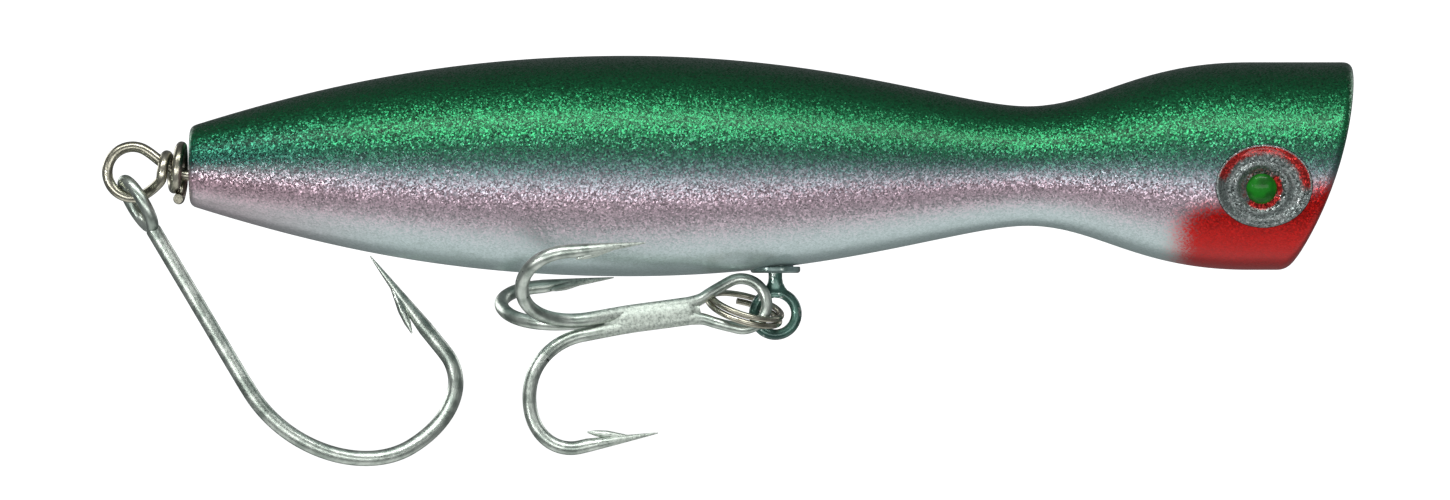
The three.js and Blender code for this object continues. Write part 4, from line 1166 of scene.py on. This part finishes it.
@dataclass
class ThroughWire:
    """One wire: bent-back leg, line tie, stem, tail loop, wraps and cut end."""

    tail_x: float
    axis_z: float
    diameter: float = 1.25
    tie_inner: float = 2.05
    leg_length: float = 9.0
    leg_gap: float = 0.15
    loop_inner: float = 2.32
    loop_back: float = 6.65
    loop_z: float = 0.3
    loop_span: tuple[float, float] = (55.0, 300.0)
    wrap_turns: float = 1.333
    wrap_first: float = 3.3
    wrap_gap: float = 0.42
    wrap_growth: float = 0.78
    wrap_lift: tuple[float, float] = (0.2, 0.8)
    tag_length: float = 1.1
    tag_rise: float = 0.4
    seat_turn: float = 273.0  # degrees round the loop, to where the tail hook hangs

    def seat(self) -> np.ndarray:
        """Returns where the tail hook's eye hangs in the loop."""
        loop = self.loop_inner + self.diameter / 2
        turn = math.radians(self.seat_turn)
        return vec(self.tail_x - self.loop_back + loop * math.cos(turn), 0,
                   self.loop_z + loop * math.sin(turn))

    def route(self) -> Points:
        """Returns the points that the wire's centre follows, from the leg's end to the cut end."""
        half = self.diameter / 2
        tie = self.tie_inner + half
        low = -self.diameter - self.leg_gap
        front = [vec(-tie - half - self.leg_length, 0, low), vec(-tie - 3, 0, low),
                 vec(-tie - 0.7 * self.diameter, 0, low)]
        ring = arc(vec(0, 0, 0), tie, X_AXIS, Z_AXIS, (214, 505), 22)
        back = [vec(-tie - 0.45, 0, 0.62), vec(-tie - 1.4, 0, 0.08), vec(-tie - 2.6, 0, 0)]
        stem = [vec(x, 0, 0) for x in np.linspace(-tie - 8, self.tail_x + 6, 12)]
        loop = arc(vec(self.tail_x - self.loop_back, 0, self.loop_z), self.loop_inner + half,
                   X_AXIS, Z_AXIS, self.loop_span, 14)
        rear = [vec(self.tail_x + 3, 0, 0), vec(self.tail_x - 1, 0, 0), vec(self.tail_x - 2.1, 0, 0.55)]
        return np.vstack([front, ring, back, stem, rear, loop, self.wraps()])

    def wraps(self) -> Points:
        """Returns the part of the route that winds round the stem and ends in the cut end."""
        inner = self.diameter + self.wrap_gap
        outer = inner + self.wrap_growth
        first = self.tail_x - self.wrap_first
        last = self.tail_x - 0.34 - self.diameter / 2
        points = []
        start = 60
        for turn in range(start, 691, 30):
            share = min(1.0, (turn - start) / (360 * self.wrap_turns))
            radius = inner + share * (outer - inner)
            middle = self.wrap_lift[0] + share * (self.wrap_lift[1] - self.wrap_lift[0])
            angle = math.radians(turn)
            points.append(vec(first + share * (last - first), -radius * math.sin(angle),
                              middle - radius * math.cos(angle)))
        tag_z = self.axis_z + self.tag_rise - inner - outer
        tag_x = last - 0.2 * self.diameter
        points += [vec(tag_x, 0.3, tag_z), vec(tag_x - 0.1, -self.tag_length, tag_z - 0.1)]
        return np.array(points)

    def build(self, trees: WireTree, finish: bpy.types.Material) -> None:
        """Draws the wire with both ends nipped slightly narrower."""
        line = smooth_route(self.route(), 0.3)
        girth = np.full(len(line), self.diameter / 2)
        girth[[0, -1]] *= 0.86
        thing = trees.wire("rigging_wire", line, girth, 20, finish)
        dress(thing, finish)
        deliver(thing, BODY, "stainless_wire", "through_wire")


# ------------------------------------------------------------------ belly hanger


@dataclass
class Hanger:
    """The grommet in the belly and the swivel's turning eye below it."""

    x: float
    flange_top: float
    ring_z: float
    stem_radius: float = 0.8
    stem_top: float = -6.9
    ring_inner: float = 1.82
    wire: float = 1.25
    flange_radius: float = 2.9
    flange_thick: float = 0.75
    sleeve_radius: float = 2.1
    sleeve_top: float = -9.3
    turning_gap: float = 0.3
    seat_radius: float = 2.96  # of the belly's recess for the flange
    seat_slack: float = 0.04
    hole_radius: float = 2.2  # of the belly's hole for the sleeve
    room_radius: float = 2.9  # of the room for the swivel's barrel
    room_top: float = 2.23
    room_slack: float = 0.3  # from the sleeve's end to the room

    def bore(self) -> tuple[tuple[float, float], ...]:
        """Returns the heights and radii of the stepped hole that the body needs for the hanger."""
        seat = self.flange_top + self.seat_slack
        room = self.sleeve_top + self.room_slack
        return ((-FAR, 0), (-FAR, self.seat_radius), (seat, self.seat_radius), (seat, self.hole_radius),
                (room, self.hole_radius), (room, self.room_radius), (self.room_top, self.room_radius),
                (self.room_top, 0))

    def grommet(self) -> bpy.types.Object:
        """Returns the turned grommet, with a rounded flange."""
        low = self.flange_top - self.flange_thick
        edge = 0.34
        profile = [[low, 0], [low, self.flange_radius - edge]]
        for turn in np.radians((22, 45, 68, 90)):
            profile.append([low + edge * (1 - math.cos(turn)),
                            self.flange_radius - edge * (1 - math.sin(turn))])
        profile += [[self.flange_top - 0.1, self.flange_radius],
                    [self.flange_top, self.flange_radius - 0.1],
                    [self.flange_top, self.sleeve_radius], [self.sleeve_top, self.sleeve_radius],
                    [self.sleeve_top, 0]]
        centre = vec(self.x, 0, 0)
        made = turned("belly_ferrule", np.array(profile), Z_AXIS, centre, 72)
        r = self.stem_radius + self.turning_gap
        hole = np.array([[low - 1, 0], [low - 1, r + 0.3], [low, r + 0.3], [low + 0.3, r],
                         [self.sleeve_top + 1, r], [self.sleeve_top + 1, 0]])
        return combine(made, [turned("hole", hole, Z_AXIS, centre, 40)], Cut.AWAY)

    def eye(self, trees: WireTree, finish: bpy.types.Material) -> bpy.types.Object:
        """Returns the ring with its neck flared from round to the ring's width."""
        half = self.wire / 2
        radius = self.ring_inner + half
        top = self.ring_z + radius
        circle = arc(vec(self.x, 0, self.ring_z), radius, X_AXIS, Z_AXIS, (0, 360), 64)[:-1]
        ring = trees.wire("swivel_ring", circle, half, 24, finish, closed=True)
        shoulder = np.array([[self.stem_top, 0.64], [self.stem_top - 0.15, self.stem_radius],
                             [top + half + 1.0, self.stem_radius], [top + half + 0.5, 0.9],
                             [top + half, 1.15], [top, 1.6], [top - 0.5, 2.02], [top - 1.0, 2.3],
                             [self.ring_z + 0.9, 2.42]])
        angle = np.linspace(0, 2 * math.pi, 40, endpoint=False)
        rings = [np.array([[self.x, 0, shoulder[-1, 0]]])]
        for z, wide in shoulder[::-1]:
            deep = min(wide, self.stem_radius, 0.92 * half + 0.18 * smooth(top, top + 1.4, z))
            rings.append(np.column_stack([self.x + wide * np.cos(angle), deep * np.sin(angle),
                                          np.full(len(angle), z)]))
        rings.append(np.array([[self.x, 0, self.stem_top]]))
        neck = rings_solid("neck", rings)
        reach = 2 * half
        hole = np.array([[-reach, 0], [-reach, self.ring_inner], [reach, self.ring_inner], [reach, 0]])
        hole_at = turned("hole", hole, Y_AXIS, vec(self.x, 0, self.ring_z), 64)
        return combine(ring, [combine(neck, [hole_at], Cut.AWAY)], Cut.JOIN)

    def build(self, trees: WireTree, finish: bpy.types.Material, pale: bpy.types.Material) -> None:
        """Builds the grommet, which took the belly's pale coat, and the oversprayed eye."""
        grommet = self.grommet()
        dress(grommet, pale)
        deliver(grommet, BODY, "oversprayed_steel", "belly_grommet")
        eye = self.eye(trees, finish)
        eye.name = "swivel_lower_eye"
        dress(eye, finish)
        deliver(eye, "swivel", "oversprayed_steel", "swivel_bottom_eye")


@dataclass
class SplitRing:
    """Two close coils of spring wire whose front wire lies in the swivel's ring."""

    hanger_x: float
    ring_z: float
    wire: float = 0.72
    pitch: float = 0.82
    outer_radius: float = 4.7
    turns: float = 1.92
    dip: float = 16.0
    lean: float = 17.0
    forward: float = 0.6
    down: float = 0.5

    def build(self, trees: WireTree, finish: bpy.types.Material) -> None:
        """Coils the ring and moves its points into place."""
        radius = self.outer_radius - self.wire / 2
        thing = trees.coil("coiled_split_ring", radius, self.wire / 2, self.turns, self.pitch, 16, finish)
        dip = math.radians(self.dip)
        at = vec(self.hanger_x + self.forward - radius * math.cos(dip), 0,
                 self.ring_z - self.down + radius * math.sin(dip))
        level = Matrix.Rotation(math.radians(90 - 180 * self.turns), 4, "Z")
        level = Matrix.Translation((0, 0, -self.turns * self.pitch * MM / 2)) @ level
        turn = Matrix.Rotation(dip, 4, "Y") @ Matrix.Rotation(math.radians(self.lean), 4, "X")
        thing.data.transform(Matrix.Translation(Vector(at * MM)) @ turn @ level)
        dress(thing, finish)
        deliver(thing, "split_ring", "stainless_wire", "split_ring")


# ------------------------------------------------------------------ hooks


def ground_point(length: float, start: float, tip: float, steps: int) -> tuple[np.ndarray, np.ndarray]:
    """Returns how far along a ground point its rings lie, and their radii.

    Args:
        length: of the point.
        start: radius where grinding starts.
        tip: radius at the tip.
        steps: number of rings.
    """
    t = np.linspace(0, 1, steps + 1)[1:]
    return t * length, tip + (start - tip) * (1 - t) ** 0.9


def barb(trees: WireTree, base: np.ndarray, tip: np.ndarray, inner: np.ndarray, diameter: float,
         lift: float, finish: bpy.types.Material) -> bpy.types.Object:
    """Returns the barb cut from a point's inner side, in line with the point's inner edge.

    Args:
        trees: draws the wire.
        base: where the ground point starts.
        tip: the point's tip.
        inner: unit vector towards the shank.
        diameter: of the hook's wire.
        lift: of the barb's tip from the point's middle, as a share of the wire's diameter.
        finish: its material.
    """
    heel = base + 0.62 * (tip - base)
    top = base + 0.03 * (tip - base) + lift * diameter * inner
    line = evenly(np.array([heel, top]), 0.25)
    along = np.linspace(0, 1, len(line))
    radius = diameter * np.interp(along, (0, 0.55, 0.8, 1), (0.16, 0.3, 0.22, 0.05))
    return trees.wire("barb", line, radius, 12, finish)


@dataclass
class Treble:
    """The three-point hook: two arms and the eye from one wire, and a third arm brazed on."""

    hanger_x: float
    ring_z: float
    wire: float = 1.6
    eye_wire: float = 1.3
    eye_inner: float = 2.3
    length: float = 26.5
    reach: float = 14.0
    point_back: float = 14.3
    splay: float = 8.0
    back: float = 3.9
    up: float = 1.15
    side: float = 2.1
    yaw: float = 11.0
    pitch: float = -7.6
    roll: float = -10.0
    neck: float = 2.6
    point_length: float = 8.4
    braze_side: float = 0.3
    braze_end: float = 0.86
    barb_lift: float = 0.95
    tip_radius: float = 0.06
    fit: float = 0.3
    trees: WireTree = field(default=None)
    finish: bpy.types.Material = field(default=None)

    def __post_init__(self) -> None:
        """Works out the shank's places and the hook's own frame."""
        self.eye_outer = self.eye_inner + self.eye_wire
        self.arm_start = self.splay - self.length
        self.cluster = 1.17 * self.wire / math.sqrt(3)
        turn = (Matrix.Rotation(math.radians(self.yaw), 4, "Z")
                @ Matrix.Rotation(math.radians(self.pitch), 4, "Y")
                @ Matrix.Rotation(math.radians(self.roll), 4, "X"))
        at = Vector((self.hanger_x - self.back, -self.side, self.ring_z + self.up)) * MM
        self.place = Matrix.Translation(at) @ turn

    @staticmethod
    def out(degrees: float) -> np.ndarray:
        """Returns an arm's direction square to the shank, 0 for straight down."""
        return vec(0, math.sin(math.radians(degrees)), -math.cos(math.radians(degrees)))

    def arm(self, out: np.ndarray) -> tuple[Points, np.ndarray, np.ndarray]:
        """Returns an arm's route from the shank to its ground point, the point's base and its tip."""
        def at(x: float, radius: float) -> np.ndarray:
            """Returns the place that far along the shank and out from it."""
            return vec(x, 0, 0) + radius * out

        bend = -self.length
        deep = 0.63 * self.reach
        tip_x = bend + self.point_back
        first = bezier(at(self.arm_start, self.cluster),
                       at(self.arm_start + 0.55 * (bend - self.arm_start), self.cluster),
                       at(bend, self.cluster + 0.4 * (deep - self.cluster)), at(bend, deep), 14)
        second = bezier(at(bend, deep), at(bend, deep + 0.6 * (self.reach - deep)),
                        at(bend + 2, self.reach), at(bend + 4.6, self.reach), 10)
        base = at(tip_x - self.point_length, self.reach - 0.1)
        return np.vstack([first, second[1:], base]), base, at(tip_x, self.reach - 0.4)

    def drawn_arm(self, lead: Points, out: np.ndarray) -> tuple[Points, np.ndarray]:
        """Returns the fine route and radii of a lead, an arm and its ground point."""
        route, base, tip = self.arm(out)
        line = smooth_route(np.vstack([lead, route]), 0.34)
        far, radii = ground_point(np.linalg.norm(tip - base), self.wire / 2, self.tip_radius, 16)
        point = base + far[:, None] * unit(tip - base)
        return np.vstack([line, point]), np.concatenate([np.full(len(line), self.wire / 2), radii])

    def barb_on(self, out: np.ndarray) -> bpy.types.Object:
        """Returns the barb of one arm."""
        _, base, tip = self.arm(out)
        return barb(self.trees, base, tip, -out, self.wire, self.barb_lift, self.finish)

    def double(self) -> bpy.types.Object:
        """Returns two arms with the pear-shaped eye between them, and the braze."""
        radius = self.eye_inner + self.eye_wire / 2
        stack = 0.53 * self.wire
        eye_end = -self.eye_outer - self.neck
        span = self.arm_start - eye_end
        shank = [(eye_end, stack), (eye_end + 0.25 * span, stack), (eye_end + 0.6 * span, stack)]
        near, near_r = self.drawn_arm(np.array([vec(x, 0, z) for x, z in shank]), self.out(-120))
        down, down_r = self.drawn_arm(np.array([vec(x, 0, -z) for x, z in shank]), self.out(0))
        leg = [(eye_end, stack), (-1.6 * radius, 0.4 * radius), (-1.17 * radius, 0.6 * radius)]
        eye = smooth_route(np.vstack([
            [vec(x, 0, z) for x, z in leg],
            arc(vec(0, 0, 0), radius, X_AXIS, Z_AXIS, (118, -118), 14),
            [vec(x, 0, -z) for x, z in reversed(leg)]]), 0.3)[1:-1]
        drawn = smooth(-0.4, 2.2, eye[:, 0] - eye_end)
        eye_r = self.wire / 2 + drawn * (self.eye_wire - self.wire) / 2
        line = np.vstack([near[::-1], eye, down])
        made = self.trees.wire("treble_pair", line, np.concatenate([near_r[::-1], eye_r, down_r]), 20,
                               self.finish)
        end = -self.eye_outer + self.braze_end * (self.arm_start + self.eye_outer)
        parts = [self.braze_run(end, eye_end + 0.75 * self.wire), self.barb_on(self.out(-120)),
                 self.barb_on(self.out(0))]
        return combine(made, parts, Cut.JOIN)

    def braze_run(self, start: float, end: float) -> bpy.types.Object:
        """Returns the run of braze that fills the groove along the shank, lumpy at its ends."""
        t = np.linspace(0, 1, 40)
        x = start + t * (end - start)
        ease = np.minimum(smooth(0, 0.2, t), smooth(0, 0.16, 1 - t))
        lump = 1 + 0.045 * np.sin(9.1 * t * math.pi + 0.6) + 0.03 * np.sin(23 * t * math.pi)
        angle = np.linspace(0, 2 * math.pi, 32, endpoint=False)
        side = np.sign(np.cos(angle)) * np.abs(np.cos(angle)) ** 0.8
        tall = np.sin(angle)
        rings = [vec(x[0], 0, 0)[None]]
        for at, big, bump in zip(x, ease, lump):
            wide = (0.25 + 0.75 * big) * 0.42 * self.wire * bump
            high = (0.35 + 0.65 * big) * 0.78 * self.wire
            middle = -0.16 * self.wire
            rings.append(np.column_stack([np.full(32, at), middle + wide * side, high * tall]))
        rings.append(vec(x[-1], 0, 0)[None])
        return rings_solid("braze", rings)

    def single(self) -> bpy.types.Object:
        """Returns the third arm, whose short shank lies against the other two."""
        beside = self.braze_side * self.wire + self.fit + self.wire / 2
        along = -self.eye_outer + 0.8 * (self.arm_start + self.eye_outer)
        lead = np.array([vec(-self.eye_outer - 2.5 * self.wire, beside, 0), vec(along, beside, 0.15)])
        line, radii = self.drawn_arm(lead, self.out(120))
        radii[:3] *= (0.7, 0.88, 0.97)
        made = self.trees.wire("treble_third", line, radii, 20, self.finish)
        return combine(made, [self.barb_on(self.out(120))], Cut.JOIN)

    def build(self) -> None:
        """Builds both parts and moves their points into place."""
        end = -self.eye_outer - self.neck
        for thing, old in ((self.double(), "treble_double_hook"), (self.single(), "treble_single_hook")):
            x = places(thing)[:, 0]
            grey = smooth(end + 0.4, end + 1.6, x)
            paint(thing, "braze", (1 - grey) * smooth(self.arm_start - 1.5, self.arm_start + 3.0, x))
            thing.data.transform(self.place)
            dress(thing, self.finish)
            deliver(thing, "treble", "tinned_steel", old)


@dataclass
class TailHook:
    """The long single hook that hangs on the tail loop."""

    seat: np.ndarray  # centre of the loop's wire where the hook hangs
    loop_wire: float = 1.25
    wire: float = 1.8
    length: float = 40.4
    gape: float = 23.0
    straight: float = 25.0
    point_back: float = 21.6
    point_length: float = 10.6
    point_lean: tuple[float, float] = (0.6, 1.9)  # base and tip, towards the shank
    eye_wire: float = 1.45
    room: tuple[float, float] = (1.75, 0.85)
    twist: float = 20.0
    droop: float = 59.2
    turn: float = 20.0
    hang: float = 0.9
    barb_lift: float = 0.95
    tip_radius: float = 0.06

    def body(self, trees: WireTree, finish: bpy.types.Material) -> bpy.types.Object:
        """Returns shank, bend and ground point, with the barb."""
        bottom = -self.length
        core = (self.loop_wire + self.eye_wire) / 2
        tall, wide = core + self.room[0], core + self.room[1]
        sweep = bezier((0, -self.straight), (0, -self.straight + 0.55 * (bottom + self.straight)),
                       (0.3 * self.gape, bottom), (0.58 * self.gape, bottom), 18)
        rise = bezier((0.58 * self.gape, bottom), (0.82 * self.gape, bottom), (self.gape, bottom + 2.6),
                      (self.gape, bottom + 6.6), 12)
        base = (self.gape - self.point_lean[0], bottom + self.point_back - self.point_length)
        flat = np.vstack([[(0, -tall), (0, -self.straight / 2)], sweep, rise[1:], [base]])
        line = smooth_route(np.column_stack([flat[:, 0], np.zeros(len(flat)), flat[:, 1]]), 0.38)
        tip = vec(self.gape - self.point_lean[1], 0, bottom + self.point_back)
        root = line[-1]
        far, radii = ground_point(np.linalg.norm(tip - root), self.wire / 2, self.tip_radius, 20)
        whole = np.vstack([line, root + far[:, None] * unit(tip - root)])
        girth = np.concatenate([np.full(len(line), self.wire / 2), radii])
        girth[0] *= 0.8
        made = trees.wire("hook_bend", whole, girth, 24, finish)
        lean = math.radians(self.twist - self.turn)
        across = vec(math.sin(lean), -math.cos(lean), 0)
        angle = np.radians(np.linspace(-84, 262, 60))[:, None]
        oval = wide * np.cos(angle) * across + tall * np.sin(angle) * Z_AXIS
        ends = np.full(60, self.eye_wire / 2)
        ends[-4:] *= (0.97, 0.92, 0.84, 0.72)
        eye = trees.wire("hook_eye", oval, ends, 20, finish)
        spur = barb(trees, root, tip, vec(-1, 0, 0), self.wire, self.barb_lift, finish)
        return combine(made, [eye, spur], Cut.JOIN)

    def build(self, trees: WireTree, finish: bpy.types.Material) -> None:
        """Builds the hook and moves its points into place."""
        thing = self.body(trees, finish)
        thing.name = "trailing_hook"
        droop = math.radians(self.droop)
        at = self.seat + self.hang * vec(math.cos(droop), 0, -math.sin(droop))
        turn = (Matrix.Rotation(droop - math.pi / 2, 4, "Y")
                @ Matrix.Rotation(math.radians(self.turn), 4, "Z"))
        thing.data.transform(Matrix.Translation(Vector(at * MM)) @ turn)
        paint(thing, "braze", np.zeros(len(thing.data.vertices)))
        dress(thing, finish)
        deliver(thing, "tail_hook", "tinned_steel", "tail_hook")


# ------------------------------------------------------------------ studio


@dataclass
class Studio:
    """The plain pale floor and dome, the soft lights and the camera."""

    target: tuple[float, float, float] = (-67.34, 0.0, -8.74)
    distance: float = 1200.0
    frame_width: float = 168.2
    sensor: float = 36.0
    floor_z: float = -62.0
    dome_radius: float = 5000.0

    def camera(self) -> None:
        """Places the camera level with the lure, on its right side."""
        lens = bpy.data.cameras.new("camera")
        lens.sensor_width = self.sensor
        lens.lens = self.sensor * self.distance / self.frame_width
        lens.clip_end = 20
        made = bpy.data.objects.new("camera", lens)
        made.location = Vector(self.target) * MM - Vector((0, self.distance * MM, 0))
        made.rotation_euler = (math.pi / 2, 0, 0)
        bpy.context.scene.collection.objects.link(made)
        bpy.context.scene.camera = made

    def light(self, name: str, at: tuple[float, float, float], size: tuple[float, float],
              power: float, colour: str = "#ffffff") -> None:
        """Adds a soft rectangular light that faces the lure.

        Args:
            name: its name.
            at: where it stands from the lure's middle, in millimetres.
            size: its width and height in millimetres.
            power: in watts.
            colour: its colour.
        """
        data = bpy.data.lights.new(name, "AREA")
        data.shape = "RECTANGLE"
        data.size, data.size_y = (s * MM for s in size)
        data.energy = power
        data.color = linear(colour)[:3]
        made = bpy.data.objects.new(name, data)
        made.location = (Vector(self.target) + Vector(at)) * MM
        made.rotation_euler = (-Vector(at)).to_track_quat("-Z", "Y").to_euler()
        bpy.context.scene.collection.objects.link(made)

    def paper(self, name: str, colour: str, glow: float) -> bpy.types.Material:
        """Returns matt white paper that may glow a little.

        Args:
            name: the material's name.
            colour: its colour.
            glow: strength of its own light.
        """
        material, add, shader = Finish(name).start()
        where = add("ShaderNodeTexCoord").outputs["Object"]
        cloud = add("ShaderNodeTexNoise", {}, {"Vector": where, "Scale": 3.0, "Detail": 2.0})
        tone = add("ShaderNodeMix", MIX, {"Factor": cloud, COLOUR_A: linear(colour),
                                          COLOUR_B: linear("#ffffff")})
        feed(shader, {"Base Color": tone, "Roughness": 0.9, "Emission Color": linear("#ffffff"),
                      "Emission Strength": glow})
        return material

    def backdrop(self) -> None:
        """Adds the floor and the dome behind everything."""
        floor_z = self.floor_z * MM
        mesh = bpy.data.meshes.new("studio_floor")
        mesh.from_pydata([(-3, -3, floor_z), (3, -3, floor_z), (3, 3, floor_z), (-3, 3, floor_z)], [],
                         [(0, 1, 2, 3)])
        floor = add_object("studio_floor", mesh)
        floor.data.materials.append(self.paper("white_paper", "#f2f2f0", 0.9))
        angle = np.linspace(0, 2 * math.pi, 64, endpoint=False)
        rings = [np.array([[0, 0, -self.dome_radius]])]
        for tilt in np.radians(np.linspace(-80, 80, 17)):
            rings.append(self.dome_radius * np.column_stack([math.cos(tilt) * np.cos(angle),
                                                 math.cos(tilt) * np.sin(angle),
                                                 np.full(64, math.sin(tilt))]))
        rings.append(np.array([[0, 0, self.dome_radius]]))
        dome = rings_solid("studio_dome", rings)
        dome.data.flip_normals()
        dome.data.materials.append(self.paper("backdrop_paper", "#ffffff", 1.0))
        for stand in (floor, dome):
            stand.visible_shadow = False
            stand.visible_diffuse = stand.visible_glossy = stand.visible_transmission = False

    def build(self) -> None:
        """Sets up camera, stage, lights and the dim grey surroundings."""
        self.camera()
        self.backdrop()
        self.light("key_softbox", (-20, -520, 620), (1100, 150), 7.0)
        self.light("front_fill", (40, -760, -190), (1000, 220), 2.6)
        self.light("under_light", (0, 60, -600), (1200, 700), 2.0)
        self.light("rear_left", (-620, 560, 300), (400, 400), 1.8)
        self.light("rear_right", (620, 560, 300), (400, 400), 1.0)
        self.light("glint_lamp", (-420, -480, -40), (30, 30), 0.8)
        scene = bpy.context.scene
        world = bpy.data.worlds.new("studio")
        world.use_nodes = True
        world.node_tree.nodes["Background"].inputs["Color"].default_value = linear("#c9cdd0")
        world.node_tree.nodes["Background"].inputs["Strength"].default_value = 0.28
        scene.world = world
        scene.view_settings.view_transform = "Standard"


# ------------------------------------------------------------------ assembly


def main() -> None:
    """Builds everything in order."""
    logging.basicConfig(level=logging.INFO, format="%(name)s: %(message)s")
    Studio().build()
    trees = WireTree()
    flake = FlakeLacquer("flake_lacquer_on_abs").build()
    stainless = DrawnWire("drawn_stainless").build()
    tinned = TinnedSteel("tinned_hook_steel").build()
    sprayed = SprayedSteel("oversprayed_steel").build()
    pale = SprayedSteel("ferrule_under_belly_paint", "#8fa3a1", "#5d716d", "#a4afa9", 0.62).build()
    lacquer = EyeLacquer("silver_flake_lacquer").build()
    enamel = Enamel("green_enamel").build()
    inside = {
        "lead": CastMetal("cast_lead", "#6b6f73", "#4a4d50", 0.5).build(),
        "brass": CastMetal("turned_brass", "#b9964f", "#94733a", 0.3).build(),
        "stainless_wire": stainless,
    }
    for name, slot in (("belly_weight", "lead"), ("tail_weight", "lead"),
                       ("swivel_top_eye", "stainless_wire"), ("swivel_barrel", "brass")):
        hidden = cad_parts[name]
        hidden.data.materials.clear()
        hidden.data.materials.append(inside[slot])

    body = Body()
    hanger_x = body.tail_x + body.hanger_station
    grommet_low, grommet_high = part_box("belly_grommet")
    ring_low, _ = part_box("swivel_bottom_eye")
    hanger = Hanger(hanger_x, grommet_low[2] / MM + Hanger.flange_thick,
                    ring_low[2] / MM + Hanger.ring_inner + Hanger.wire)
    hanger.sleeve_top = grommet_high[2] / MM
    body.bore = hanger.bore()
    eye = Eye(body)
    body.build([eye.pocket(-1), eye.pocket(1)], hanger_x, flake)
    eye.build(lacquer, enamel)
    wire = ThroughWire(body.tail_x, body.axis_z)
    wire.build(trees, stainless)
    hanger.build(trees, sprayed, pale)
    SplitRing(hanger_x, hanger.ring_z).build(trees, stainless)
    Treble(hanger_x, hanger.ring_z, trees=trees, finish=tinned).build()
    TailHook(wire.seat()).build(trees, tinned)


if __name__ == "__main__":
    main()
